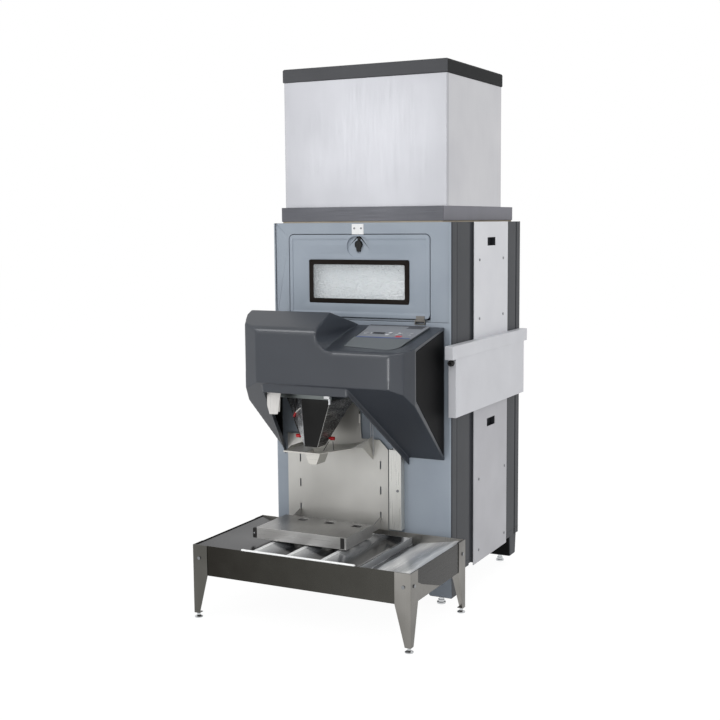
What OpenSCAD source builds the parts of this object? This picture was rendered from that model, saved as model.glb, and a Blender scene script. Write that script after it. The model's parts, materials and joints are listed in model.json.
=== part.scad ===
// Ice dispensing bin: an insulated bin under a modular ice machine, with an auger
// dispenser in a hood at the front and a stainless catch table below it.
// Units are mm. X runs to the right, Y to the back and Z up. The origin is on the floor
// at the middle of the whole footprint.

/* [Bin] */
// Width of the bin
bin_w = 842; // [700:1:960]
// Depth of the bin
bin_d = 840; // [780:1:960]
// Height of the bin's top edge
bin_top = 1611; // [1560:1:1700]
// Height of the shell's lower edge above the floor
shell_z0 = 130; // [110:1:150]
// Thickness of the insulated walls
wall = 60; // [50:1:70]
// Radius of the front vertical corners
corner_front_r = 12; // [4:1:16]
// Radius of the rear vertical corners
corner_rear_r = 12; // [4:1:30]
// Height of the ledge between the lower front and the upper surround
ledge_z = 1200; // [1192:1:1204]
// Set-back of the upper surround behind the lower front
surround_set = 5; // [2:1:8]
// Thickness of the upper surround
surround_t = 10; // [6:1:12]
// Width of a leg block at its top
leg_block_w = 118; // [90:1:130]
// Depth of a leg block at its top
leg_block_d = 92; // [70:1:110]
// Set-back of the rear leg blocks
leg_rear_set = 34; // [20:1:50]
// Height of a foot stud below its leg block
stud_h = 36; // [30:1:45]
// Radius of a foot stud
stud_r = 10; // [7:0.5:14]
// Radius of a foot's pad
foot_r = 19; // [15:0.5:24]
// Bore of the bin's drain outlet
bin_drain_r = 9; // [7:0.5:11]

/* [Side panels] */
// Distance from the bin's front face to the panel recess
panel_y = 250; // [235:1:270]
// Width of a side panel
panel_w = 416; // [390:1:440]
// Thickness of a side panel
panel_t = 3; // [2:0.5:3.5]
// Height of the lower edge of the lower panel
panel_z0 = 118; // [100:1:128]
// Height of the seam between the lower and the upper panel
panel_seam_z = 812; // [800:1:850]
// Length of a pull slot
slot_l = 100; // [80:1:120]
// Height of a pull slot
slot_h = 36; // [28:1:44]
// Drop of a pull slot below the upper edge of its panel
slot_drop = 86; // [60:1:90]

/* [Adapter and ice machine] */
// Height of the adapter frame
adapter_h = 60; // [50:1:70]
// Set-back of the adapter before the bin's rear face
adapter_rear = 6; // [4:1:12]
// Set-back of the adapter behind the bin's face
adapter_set = 10; // [4:1:16]
// Width of the walls of the adapter frame
adapter_wall = 74; // [60:1:80]
// Width of the ice machine
head_w = 762; // [740:1:800]
// Depth of the ice machine
head_d = 630; // [610:1:680]
// Height of the ice machine's panels
head_h = 535; // [500:1:580]
// Set-back of the ice machine behind the bin's face
head_set = 46; // [40:1:60]
// Height of the top cap
cap_h = 57; // [45:1:70]
// Overhang of the top cap
cap_over = 5; // [2:1:8]
// Thickness of the ice machine's sheet panels
sheet_t = 2; // [1.5:0.5:2.5]

/* [Door] */
// Width of the access door
door_w = 664; // [620:1:690]
// Height of the access door
door_h = 350; // [338:1:356]
// Height of the door's lower edge
door_z0 = 1211; // [1208:1:1214]
// Sideways offset of the door's middle
door_x = -10; // [-16:1:16]
// Thickness of the door
door_t = 38; // [34:1:44]
// Radius of the door's corners
door_r = 20; // [12:1:28]
// Depth of the sunken face round the window
door_dish = 9; // [6:1:12]
// Width of the window over its gasket
window_w = 474; // [420:1:490]
// Height of the window over its gasket
window_h = 185; // [160:1:190]
// Height of the window's middle above the door's lower edge
window_rise = 151; // [145:1:158]
// Width of the window gasket's frame
gasket_w = 20; // [14:1:26]
// Thickness of the window pane
pane_t = 5; // [4:1:8]
// Radius of the hinge pins
pin_r = 3; // [2.5:0.5:3.5]

/* [Hood] */
// Half of the hood's width
hood_hw = 390; // [370:1:405]
// Depth of the hood
hood_d = 374; // [366:1:400]
// Height of the hood's lower ridge at the front
hood_ridge_z = 1106; // [1096:1:1112]
// Height of the hood's top where it meets the bin
hood_back_z = 1182; // [1172:1:1184]
// Height of the lower edge of the hood's front face
hood_front_z = 966; // [950:1:976]
// Height of the wings where they meet the bin
hood_wing_z = 626; // [610:1:650]
// Height of the raised part's front ridge
raised_front_z = 1187; // [1180:1:1200]
// Height of the raised part's top
raised_top_z = 1250; // [1246:1:1254]
// Set-back of the raised part's top edge behind the front
raised_set = 138; // [120:1:150]
// Right end of the raised part's ridge
raised_x = -8; // [-20:1:4]
// Radius of the curve from the raised part to the lower ridge
raised_r = 66; // [56:1:74]
// Chamfer of the left front corner
hood_corner_l = 104; // [80:1:116]
// Chamfer of the right front corner
hood_corner_r = 78; // [60:1:100]
// Wall of the moulded hood
hood_t = 6; // [5:0.5:7]
// Depth of the lips along the hood's opening
lip_h = 32; // [20:1:36]
// Depth of the lip at the front of the opening
lip_front = 18; // [8:1:24]

/* [Dispenser] */
// Sideways place of the auger and the chute
auger_x = -110; // [-118:1:-102]
// Slope of the auger
auger_tilt = 32; // [31:0.5:33]
// Radius of the auger's flight
flight_r = 66; // [60:1:67]
// Pitch of the auger's flight
flight_pitch = 110; // [90:1:130]
// Thickness of the auger's flight
flight_t = 7; // [5:0.5:9]
// Radius of the auger's shaft
shaft_r = 16; // [12:0.5:18]
// Inner radius of the auger tube
tube_r = 72; // [70:0.5:73]
// Wall of the auger tube
tube_t = 4; // [3:0.5:5]
// Width of the chute's front at its top
chute_w = 136; // [128:1:144]
// Width of the chute's front at its outlet
chute_out_w = 62; // [54:1:72]
// Depth of the chute at its top
chute_d = 160; // [150:1:166]
// Depth of the chute's outlet
chute_out_d = 70; // [62:1:80]
// Reach of the chute's mouth to the left, at its rear
chute_flare = 172; // [150:1:180]
// Reach of the chute's mouth to the right, at its rear
chute_flare_r = 34; // [10:1:40]
// Height of the chute's outlet
chute_z0 = 686; // [680:1:696]
// Height where the chute's taper starts
chute_z1 = 884; // [878:1:888]
// Height of the chute's top edge
chute_z2 = 900; // [896:1:902]
// Sheet of the chute
chute_t = 2; // [1.5:0.5:3]
// Height of the lower guide's plate
guide_z = 658; // [650:1:664]
// Depth of the lower guide's plate
guide_d = 232; // [215:1:240]
// Height of a key above the keypad
key_rise = 1.4; // [1.2:0.1:1.8]

/* [Back plate and shelf] */
// Left edge of the back plate
plate_x0 = -355; // [-362:1:-345]
// Right edge of the back plate
plate_x1 = 136; // [120:1:144]
// Height of the back plate's lower edge
plate_z0 = 262; // [240:1:280]
// Height of the back plate's upper edge
plate_z1 = 694; // [688:1:704]
// Sheet of the back plate
plate_t = 3; // [2:0.5:4]
// Width of the vertical channel
channel_w = 56; // [48:1:60]
// Width of the fill shelf
shelf_w = 424; // [380:1:440]
// Depth of the fill shelf
shelf_d = 240; // [220:1:260]
// Height of the fill shelf's top
shelf_z = 346; // [340:1:360]
// Height of the fill shelf's front
shelf_h = 50; // [44:1:54]

/* [Table] */
// Width of the table
table_w = 980; // [940:1:1040]
// Depth of the table
table_d = 545; // [520:1:570]
// Height of the table's rim
table_z = 308; // [302:1:310]
// Height of the table's skirts
skirt_h = 125; // [112:1:130]
// Sheet of the table
table_t = 3; // [2:0.5:4]
// Gap between the table and the bin
table_gap = 16; // [14:1:20]
// Width of a leg at its top
leg_w = 68; // [58:1:76]
// Width of a leg at its foot
leg_foot_w = 26; // [20:1:32]
// Half of the sump's width
sump_hw = 256; // [246:1:262]
// Height of the sump's ledges
sump_ledge_z = 262; // [258:1:264]
// Height of the sump's floor
sump_z = 208; // [200:1:214]
// Number of wide slats in the grate
slat_n = 3; // [2:1:5]
// Bore of the table's drain outlet
table_drain_r = 12; // [9:0.5:14]

/* [Side box] */
// Width of the side box
box_w = 34; // [30:1:36]
// Height of the side box under its lid
box_h = 242; // [220:1:260]
// Height of the side box's lower edge
box_z0 = 815; // [800:1:830]
// Reach of the side box in front of the bin's face
box_front = 35; // [25:1:40]
// Distance from the side box's rear end to the bin's rear face
box_rear = 42; // [30:1:50]
// Height of the lid
lid_h = 55; // [45:1:60]
// Overhang of the lid at both ends
lid_over = 38; // [30:1:40]

/* [Clearances] */
// Gap round a part that moves or is fitted
gap = 3; // [2:0.5:4]
// Gap between faces that nearly touch
slip = 0.3; // [0.2:0.05:0.5]
// Radial clearance of a running fit
run_fit = 0.05; // [0.02:0.01:0.08]

/* [Hidden] */
$fn = 40;

// Places on the Y axis
depth_all = table_d + table_gap + bin_d;
face_y = depth_all / 2 - bin_d;
table_y0 = -depth_all / 2;
table_y1 = table_y0 + table_d;

// Heights of the stack
gasket_h = 6;
adapter_d = bin_d - adapter_set - adapter_rear;
adapter_z0 = bin_top + gasket_h;
head_z0 = adapter_z0 + adapter_h;
head_z1 = head_z0 + head_h;

// Values of the bin
half_w = bin_w / 2;
surround_hw = half_w - corner_front_r;
recess_d = panel_t + slip;
pocket_d = 24;
base_z1 = shell_z0 + 30;
slot_y = panel_y + panel_w / 2;
leg_taper = 12;
foot_pad_h = 8;
foot_x = half_w - leg_block_w / 2 - leg_taper / 2;
foot_y0 = leg_block_d / 2;
foot_y1 = bin_d - leg_rear_set - leg_block_d / 2;

// Values of the door
door_y = surround_set - 1;
door_zc = door_z0 + door_h / 2;
window_z = door_z0 + window_rise;
window_in = 8;
window_x = door_x - 1;
hinge_y = door_y - 2;
hinge_z = door_z0 - 7;
hinge_x = [door_x - door_w / 2 + 42, door_x + door_w / 2 - 42];
barrel_r = 6;
barrel_l = 38;
ear_t = 3;
leaf_h = 14;
notch_z = ledge_z - 10;
opening_in = 34;
latch_x = door_x + 2;
latch_z = door_z0 + door_h - 42;
latch_w = 14;
latch_run = 14;
latch_top = door_z0 + door_h - 4;
latch_y = door_y + 12;
latch_t = 3.5;
keeper_w = 56;
keeper_h = 44;

// Values of the auger, measured along its slope from the point over the chute
mouth_y = -165;
mouth_z = 1040;
tube_s0 = -95;
wall_s = (bin_d - wall - mouth_y) / cos(auger_tilt);
tube_s1 = (wall - mouth_y + tube_r * sin(auger_tilt)) / cos(auger_tilt) + 24;
trough_s1 = wall_s - 30;
flight_s0 = -70;
flight_s1 = trough_s1 - 16;
bearing_s1 = wall_s + 34;
gearbox_l = 55;
gearbox_w = 104;
motor_l = 40;
motor_r = 40;
floor_drop = 10;
function axis_z(y) = mouth_z - (y - mouth_y) * tan(auger_tilt);

// The drain leaves the trough's low end beside the auger's bearing seat
drain_dx = 40;
drain_x = auger_x + drain_dx;
drain_y0 = mouth_y + trough_s1 * cos(auger_tilt) - 30;
drain_z = mouth_z - trough_s1 * sin(auger_tilt) + bin_drain_r + 3
    - sqrt(tube_r * tube_r - drain_dx * drain_dx) * cos(auger_tilt);
drain_wall = 2.5;

// Values of the dispenser
chute_y0 = mouth_y - 85;
chute_y1 = chute_y0 + chute_d;
outlet_y0 = chute_y0 + 14;
spout_y = outlet_y0 + 46;
frame_h = 19;
frame_t = 3;
plate_y = -9;
channel_screw_z = 486;
key_w = 22;
key_d = 15;
key_y = -142;
key_x = [110, 208, 251, 302];
pad_x0 = 62;
pad_x1 = 342;
pad_y0 = -322;
pad_y1 = -22;
pad_bend_y = -184;
pad_rise = 9;
hood_slope = (hood_back_z - hood_ridge_z) / hood_d;
wing_slope = (hood_front_z - hood_wing_z) / hood_d;
function hood_top(y) = hood_back_z + y * hood_slope;
function hood_low(y) = hood_wing_z - y * wing_slope;

// Values of the shelf and the table
shelf_x = -110;
shelf_y1 = -96;
hook_x = [shelf_x - shelf_w / 2 + 30, shelf_x + shelf_w / 2 - 2];
hook_t = 4;
hook_slot_h = 34;
skirt_z0 = table_z - skirt_h;
leg_t = 3;
table_foot_h = 20;
table_foot_r = 17;
ledge_in = 14;
table_drain_l = 60;
table_drain_y = table_y1 - 120;

// Points of an arc round a centre
function arc(cx, cy, r, a0, a1, n = 6) =
    [for (i = [0:n]) let (a = a0 + (a1 - a0) * i / n) [cx + r * cos(a), cy + r * sin(a)]];

// Outline of a rectangle with round corners, about its middle
function round_rect(w, h, r, n = 5) = concat(
    arc(w / 2 - r, h / 2 - r, r, 0, 90, n),
    arc(-w / 2 + r, h / 2 - r, r, 90, 180, n),
    arc(-w / 2 + r, -h / 2 + r, r, 180, 270, n),
    arc(w / 2 - r, -h / 2 + r, r, 270, 360, n));

// Measures Y from the bin's front face
module on_face() { translate([0, face_y, 0]) children(); }

// Extrudes a YZ outline along X
module along_x(x0, x1) {
    translate([x0, 0, 0]) rotate([90, 0, 90]) linear_extrude(x1 - x0) children();
}

// Extrudes an XZ outline along Y
module along_y(y0, y1) {
    translate([0, y1, 0]) rotate([90, 0, 0]) linear_extrude(y1 - y0) children();
}

// A box given by its two corners
module block(a, b) { translate(a) cube(b - a); }

// Turns Z into the auger's axis, towards the bin's rear
module on_auger() {
    translate([auger_x, mouth_y, mouth_z]) rotate([-90 - auger_tilt, 0, 0]) children();
}

// A cylinder from one Y to another
module rod_y(x, z, r, y0, y1) {
    translate([x, y1, z]) rotate([90, 0, 0]) cylinder(r = r, h = y1 - y0);
}

// A cylinder from one X to another
module rod_x(y, z, r, x0, x1) {
    translate([x0, y, z]) rotate([0, 90, 0]) cylinder(r = r, h = x1 - x0);
}

// Bin

// Plan of the shell with round corners, side grooves and panel recesses
module shell_plan() {
    rib_y = panel_y + panel_w + 112;
    rib_w = 10;
    groove_w = 52;
    difference() {
        polygon(concat(
            arc(-half_w + corner_front_r, corner_front_r, corner_front_r, 180, 270),
            arc(half_w - corner_front_r, corner_front_r, corner_front_r, 270, 360),
            arc(half_w - corner_rear_r, bin_d - corner_rear_r, corner_rear_r, 0, 90),
            arc(-half_w + corner_rear_r, bin_d - corner_rear_r, corner_rear_r, 90, 180)));
        for (s = [-1, 1]) {
            translate([s * half_w, panel_y + panel_w / 2])
                square([2 * recess_d, panel_w + 2 * gap], center = true);
            translate([s * half_w, panel_y - groove_w / 2])
                square([22, groove_w], center = true);
            translate([s * half_w, rib_y]) square([14, rib_w], center = true);
        }
    }
}

// A leg block that narrows to its foot
module leg_block() {
    w = leg_block_w;
    d = leg_block_d;
    h = shell_z0 - stud_h + 1;
    translate([0, 0, stud_h]) intersection() {
        along_x(-w, w) polygon([[leg_taper / 2, 0], [d - leg_taper, 0], [d, h], [0, h]]);
        along_y(-1, d + 1) polygon([[-w / 2 + leg_taper, 0], [w / 2, 0], [w / 2, h], [-w / 2, h]]);
    }
}

// The part of the shell's plan between two depths
module shell_slab(y0, y1) {
    intersection() {
        shell_plan();
        translate([-half_w - 1, y0]) square([bin_w + 2, y1 - y0]);
    }
}

// The auger's tube hole, trough and shaft hole
module auger_way() {
    on_auger() {
        cylinder(r = tube_r, h = trough_s1);
        translate([0, 0, -60]) cylinder(r = tube_r + tube_t, h = tube_s1 + 60);
        cylinder(r = shaft_r + run_fit, h = bearing_s1);
    }
}

module bin_front_wall() {
    notch_hw = barrel_l / 2 + ear_t + 3;
    pocket_y = door_y + door_t + 8;
    color("#8e98a3") on_face() difference() {
        translate([0, 0, base_z1]) linear_extrude(bin_top - base_z1) shell_slab(0, wall);
        auger_way();
        // Pocket for the upper surround, door opening, and the door's own pocket
        block([-surround_hw - slip, -1, ledge_z], [surround_hw + slip, surround_set + surround_t, bin_top + 1]);
        block([door_x - door_w / 2 + opening_in, -1, door_z0 + opening_in],
            [door_x + door_w / 2 - opening_in, wall + 1, door_z0 + door_h - opening_in]);
        block([door_x - door_w / 2 - gap, -1, door_z0 - gap],
            [door_x + door_w / 2 + gap, pocket_y, door_z0 + door_h + gap]);
        // Notches for the hinges
        for (x = hinge_x) block([x - notch_hw, -1, notch_z], [x + notch_hw, hinge_y + 10, ledge_z + 1]);
    }
}

module bin_side_walls() {
    color("#54565b") on_face() for (s = [0, 1]) mirror([s, 0, 0]) difference() {
        translate([0, 0, base_z1]) linear_extrude(bin_top - base_z1) intersection() {
            shell_slab(wall, bin_d - wall);
            translate([half_w - wall, 0]) square([wall, bin_d]);
        }
        // Finger channel behind the pull slots
        block([half_w - recess_d - pocket_d, slot_y - slot_l / 2 - 2, base_z1 - 1],
            [half_w, slot_y + slot_l / 2 + 2, bin_top - slot_drop + slot_h / 2 + 2]);
    }
}

module bin_rear_wall() {
    color("#54565b") on_face() difference() {
        translate([0, 0, base_z1]) linear_extrude(bin_top - base_z1) shell_slab(bin_d - wall, bin_d);
        on_auger() cylinder(r = shaft_r + run_fit, h = bearing_s1);
        rod_y(drain_x, drain_z, bin_drain_r, drain_y0, bin_d + 1);
    }
}

// Base with the leg blocks and the compartment's floor, which falls to the rear
module bin_base() {
    floor_y1 = bin_d - wall;
    color("#54565b") on_face() difference() {
        union() {
            translate([0, 0, shell_z0]) linear_extrude(base_z1 - shell_z0) shell_plan();
            along_x(-half_w + wall, half_w - wall) polygon([[wall, shell_z0 + 1], [floor_y1, shell_z0 + 1],
                [floor_y1, axis_z(floor_y1) - floor_drop], [wall, axis_z(wall) - floor_drop]]);
            for (s = [0, 1], y = [0, foot_y1 - foot_y0]) mirror([s, 0, 0])
                translate([half_w - leg_block_w / 2, y, 0]) leg_block();
        }
        auger_way();
        rod_y(drain_x, drain_z, bin_drain_r, drain_y0, bin_d);
    }
}

module front_surround() {
    color("#8a949e") on_face()
        along_y(surround_set, surround_set + surround_t) difference() {
            translate([0, (ledge_z + bin_top) / 2])
                polygon(round_rect(2 * surround_hw, bin_top - ledge_z, 6));
            translate([door_x, door_zc])
                polygon(round_rect(door_w + 2 * gap, door_h + 2 * gap, door_r + gap));
            translate([door_x - door_w / 2 - gap, ledge_z - 1])
                square([door_w + 2 * gap, door_z0 - ledge_z + door_r + gap]);
        }
}

module bin_feet() {
    color("#b9bcc0") on_face() for (x = [-foot_x, foot_x], y = [foot_y0, foot_y1])
        translate([x, y, 0]) {
            cylinder(r = foot_r, h = foot_pad_h);
            cylinder(r = stud_r, h = stud_h);
            translate([0, 0, foot_pad_h]) cylinder(r = stud_r * 1.5, h = 10, $fn = 6);
        }
}

// Drain outlets: a nozzle in the bin's rear face and a pipe under the table's sump
module drain_fittings() {
    color("#d8d8d4") on_face() {
        difference() {
            union() {
                rod_y(drain_x, drain_z, bin_drain_r + 5, bin_d, bin_d + 4);
                rod_y(drain_x, drain_z, bin_drain_r - run_fit, bin_d - wall, bin_d);
            }
            rod_y(drain_x, drain_z, bin_drain_r - drain_wall, bin_d - wall - 1, bin_d + 5);
        }
    }
    color("#c4c6c8") translate([0, table_drain_y, 0]) difference() {
        union() {
            translate([0, 0, sump_z - table_t - table_drain_l]) cylinder(r = table_drain_r + drain_wall, h = table_drain_l);
            translate([0, 0, sump_z - table_t - 8]) cylinder(r = table_drain_r + 12, h = 8);
        }
        translate([0, 0, sump_z - table_t - table_drain_l - 1]) cylinder(r = table_drain_r, h = table_drain_l + 2);
    }
}

// Places of the screws on a side panel: distance from its front edge and height
upper_screws = [[62, 1448], [panel_w - 62, 1448], [62, 1196], [panel_w - 62, 1196]];
lower_screws = [[62, 490], [panel_w - 30, 490], [62, 172], [panel_w - 30, 172]];

// A removable side panel, drawn on the right side
module side_panel(z0, z1) {
    x0 = half_w - recess_d + slip;
    difference() {
        block([x0, panel_y, z0], [x0 + panel_t, panel_y + panel_w, z1]);
        block([x0 - 1, slot_y - slot_l / 2, z1 - slot_drop - slot_h / 2],
            [x0 + panel_t + 1, slot_y + slot_l / 2, z1 - slot_drop + slot_h / 2]);
    }
}

module side_panel_upper_right() {
    color("#c9cacc") on_face() side_panel(panel_seam_z + gap, bin_top);
}
module side_panel_lower_right() {
    color("#c9cacc") on_face() side_panel(panel_z0, panel_seam_z);
}
module side_panel_upper_left() {
    color("#c9cacc") on_face() mirror([1, 0, 0]) side_panel(panel_seam_z + gap, bin_top);
}
module side_panel_lower_left() {
    color("#c9cacc") on_face() mirror([1, 0, 0]) side_panel(panel_z0, panel_seam_z);
}

// All the small screws of the cabinet, and the table's leg bolts
module screws() {
    head_r = 6;
    head_h = 2.4;
    panel_x = half_w - recess_d + slip + panel_t;
    color("#6d6f72") {
        on_face() {
            for (s = [-1, 1], p = concat(upper_screws, lower_screws))
                mirror([s < 0 ? 1 : 0, 0, 0])
                    rod_x(panel_y + p[0], p[1], head_r, panel_x, panel_x + head_h);
            for (s = [-1, 1])
                rod_y(latch_x + s * 16, door_z0 + door_h + keeper_h * 0.6, 4, surround_set - 4.5, surround_set - 2);
            rod_y(plate_x1 + 14 + channel_w * 0.72, channel_screw_z, head_r, plate_y - plate_t - 22 - head_h,
                plate_y - plate_t - 22);
        }
        for (s = [-1, 1]) {
            for (x = [s * (table_w / 2 - leg_w * 0.45)])
                rod_y(x, table_z - 54, 7, table_y0 - 4, table_y0);
            mirror([s < 0 ? 1 : 0, 0, 0]) for (y = [table_y0 + leg_w * 0.45, table_y1 - leg_w * 0.45])
                rod_x(y, table_z - 54, 7, table_w / 2, table_w / 2 + 4);
        }
    }
}

// Adapter and ice machine

module adapter_frame() {
    color("#4b4d52") on_face() difference() {
        block([-head_w / 2, adapter_set + 2, adapter_z0],
            [head_w / 2, adapter_set + adapter_d, head_z0]);
        block([-head_w / 2 + adapter_wall, adapter_set + adapter_wall, adapter_z0 - 1],
            [head_w / 2 - adapter_wall, head_set + head_d - adapter_wall, head_z0 + 1]);
    }
}

module adapter_front_trim() {
    color("#55575b") on_face()
        block([-head_w / 2, adapter_set, adapter_z0], [head_w / 2 - 1, adapter_set + 2, head_z0]);
}

module adapter_gasket() {
    inset = 4;
    seal_w = 20;
    seal_d = 50;
    color("#b5ab97") on_face() difference() {
        block([-head_w / 2 + inset, adapter_set + inset, bin_top],
            [head_w / 2 - inset, adapter_set + adapter_d - inset, adapter_z0]);
        block([-head_w / 2 + seal_w, adapter_set + seal_d, bin_top - 1],
            [head_w / 2 - seal_w, adapter_set + adapter_d - seal_d, adapter_z0 + 1]);
    }
}

// Place and width of the evaporator
evap_w = head_w - 342;
evap_x0 = -head_w / 2 + adapter_wall + 27;
base_t = 16;

module head_base() {
    drop_y0 = head_set + 60;
    drop_d = 240;
    color("#b4b7ba") on_face() difference() {
        block([-head_w / 2 + sheet_t, head_set + sheet_t, head_z0],
            [head_w / 2 - sheet_t, head_set + head_d - sheet_t, head_z0 + base_t]);
        // Drop opening under the evaporator
        block([evap_x0 - 7, drop_y0, head_z0 - 1],
            [head_w / 2 - adapter_wall - 60, drop_y0 + drop_d, head_z0 + base_t + 1]);
    }
}

module head_front_panel() {
    color("#c6c8ca") on_face() {
        block([-head_w / 2, head_set, head_z0], [head_w / 2, head_set + sheet_t, head_z1]);
        for (s = [-1, 1]) mirror([s < 0 ? 1 : 0, 0, 0])
            block([head_w / 2 - sheet_t, head_set + sheet_t, head_z0],
                [head_w / 2, head_set + 16, head_z1]);
    }
}

// A side panel of the ice machine with folded ends, drawn on the right
module head_side() {
    x1 = head_w / 2;
    y0 = head_set + 16 + 1;
    y1 = head_set + head_d - sheet_t;
    block([x1 - sheet_t, y0, head_z0], [x1, y1, head_z1]);
    block([x1 - 20, y0, head_z0 + base_t], [x1 - sheet_t, y0 + sheet_t, head_z1]);
}
module head_right_panel() { color("#cfd0d2") on_face() head_side(); }
module head_left_panel() { color("#cfd0d2") on_face() mirror([1, 0, 0]) head_side(); }

module head_rear_panel() {
    louvre_n = 14;
    louvre_pitch = 22;
    louvre_h = 10;
    louvre_hw = 140;
    port_r = 11;
    port_x = [-250, -290];
    y1 = head_set + head_d;
    color("#bfc1c3") on_face() difference() {
        block([-head_w / 2, y1 - sheet_t, head_z0], [head_w / 2, y1, head_z1]);
        for (i = [0:louvre_n - 1]) let (z = head_z0 + 110 + i * louvre_pitch)
            block([fan_x - louvre_hw, y1 - sheet_t - 1, z], [fan_x + louvre_hw, y1 + 1, z + louvre_h]);
        for (x = port_x) rod_y(x, head_z0 + 90, port_r, y1 - sheet_t - 1, y1 + 1);
    }
}

module head_top_cap() {
    edge = 5;
    lip = 12;
    w = head_w / 2 + cap_over;
    y0 = head_set - cap_over;
    y1 = head_set + head_d + cap_over;
    color("#3d3f43") on_face() difference() {
        intersection() {
            along_x(-w, w) polygon([[y0, head_z1], [y1, head_z1], [y1, head_z1 + cap_h - edge],
                [y1 - edge, head_z1 + cap_h], [y0 + edge, head_z1 + cap_h],
                [y0, head_z1 + cap_h - edge]]);
            along_y(y0, y1) polygon([[-w, head_z1], [w, head_z1], [w, head_z1 + cap_h - edge],
                [w - edge, head_z1 + cap_h], [-w + edge, head_z1 + cap_h],
                [-w, head_z1 + cap_h - edge]]);
        }
        block([-head_w / 2 + lip, head_set + lip, head_z1 - 1],
            [head_w / 2 - lip, head_set + head_d - lip, head_z1 + cap_h - lip]);
    }
}

// Evaporator plate with its grid, over a water trough on the base
module evaporator() {
    h = 330;
    cols = 10;
    rows = 8;
    rib = 16;
    x0 = evap_x0;
    x1 = evap_x0 + evap_w;
    y = head_set + 150;
    z0 = head_z0 + 74;
    tray_z = head_z0 + base_t;
    color("#b9bdc2") on_face() {
        block([x0 - 1, y, z0], [x1 + 1, y + 4, z0 + h]);
        for (i = [0:cols]) let (x = x0 + i * evap_w / cols)
            block([x - 1, y - rib, z0], [x + 1, y, z0 + h]);
        for (i = [0:rows - 1]) let (z = z0 + i * h / rows)
            block([x0 - 1, y - rib, z], [x1 + 1, y, z + 2]);
        difference() {
            block([x0 - 20, y - 24, tray_z], [x1 + 20, y + 60, z0 - 2]);
            block([x0 - 17, y - 21, tray_z + 14], [x1 + 17, y + 57, z0]);
            block([x0 + 20, y - 30, tray_z - 1], [x1 - 20, y + 66, tray_z + 13]);
        }
        for (x = [x0 - 6, x1]) block([x, y, tray_z + 14], [x + 6, y + 4, z0 + h]);
    }
}

module compressor() {
    can_r = 74;
    can_h = 190;
    dome_r = 40;
    color("#222326") on_face()
        translate([-head_w / 2 + can_r + 67, head_set + head_d - can_r - 96, head_z0 + base_t]) {
            cylinder(r = can_r + 12, h = 12);
            rotate_extrude() polygon(concat([[0, 12], [can_r, 12]],
                arc(can_r - dome_r, can_h - dome_r, dome_r, 0, 90, 6), [[0, can_h]]));
        }
}

fan_x = head_w / 2 - 201;
fan_y = head_set + head_d - 130;
fan_z = head_z0 + 250;
fan_r = 118;
fan_shaft_r = 6;
fan_shaft_l = 52;

module condenser() {
    w = 290;
    h = 300;
    x0 = fan_x - w / 2;
    y0 = head_set + head_d - 60;
    fin_n = 24;
    color("#9da1a6") on_face() difference() {
        block([x0, y0, head_z0 + base_t], [x0 + w, y0 + 36, head_z0 + 100 + h]);
        for (i = [0:fin_n - 1])
            block([x0 + 10 + i * (w - 20) / fin_n, y0 - 1, head_z0 + 106],
                [x0 + 10 + (i + 0.6) * (w - 20) / fin_n, y0 + 8, head_z0 + 94 + h]);
    }
}

module fan_motor() {
    bracket = 20;
    color("#303236") on_face() {
        difference() {
            rod_y(fan_x, fan_z, 36, fan_y - 90, fan_y - 24);
            rod_y(fan_x, fan_z, fan_shaft_r + run_fit, fan_y - fan_shaft_l - 8, fan_y - 20);
        }
        block([fan_x - bracket, fan_y - 80, head_z0 + base_t], [fan_x + bracket, fan_y - 40, fan_z - 30]);
    }
}

// Fan with pitched blades and a shaft that runs in its motor
module condenser_fan() {
    blade_n = 5;
    color("#8d9196") on_face() {
        rod_y(fan_x, fan_z, fan_shaft_r, fan_y - fan_shaft_l - 6, fan_y - 6);
        translate([fan_x, fan_y, fan_z]) rotate([90, 0, 0]) {
            translate([0, 0, -8]) cylinder(r = 30, h = 20);
            for (i = [0:blade_n - 1]) rotate(i * 360 / blade_n)
                translate([26, 0, 2]) rotate([28, 0, 0])
                    linear_extrude(3, center = true)
                        polygon(concat([[0, -14]], arc(fan_r - 66, 0, 38, -70, 70, 6), [[0, 14]]));
        }
    }
}

// Door

// Outline of the door's perimeter
module door_outline(inset) {
    translate([door_x, door_zc])
        polygon(round_rect(door_w - 2 * inset, door_h - 2 * inset, door_r - inset / 3));
}

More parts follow.
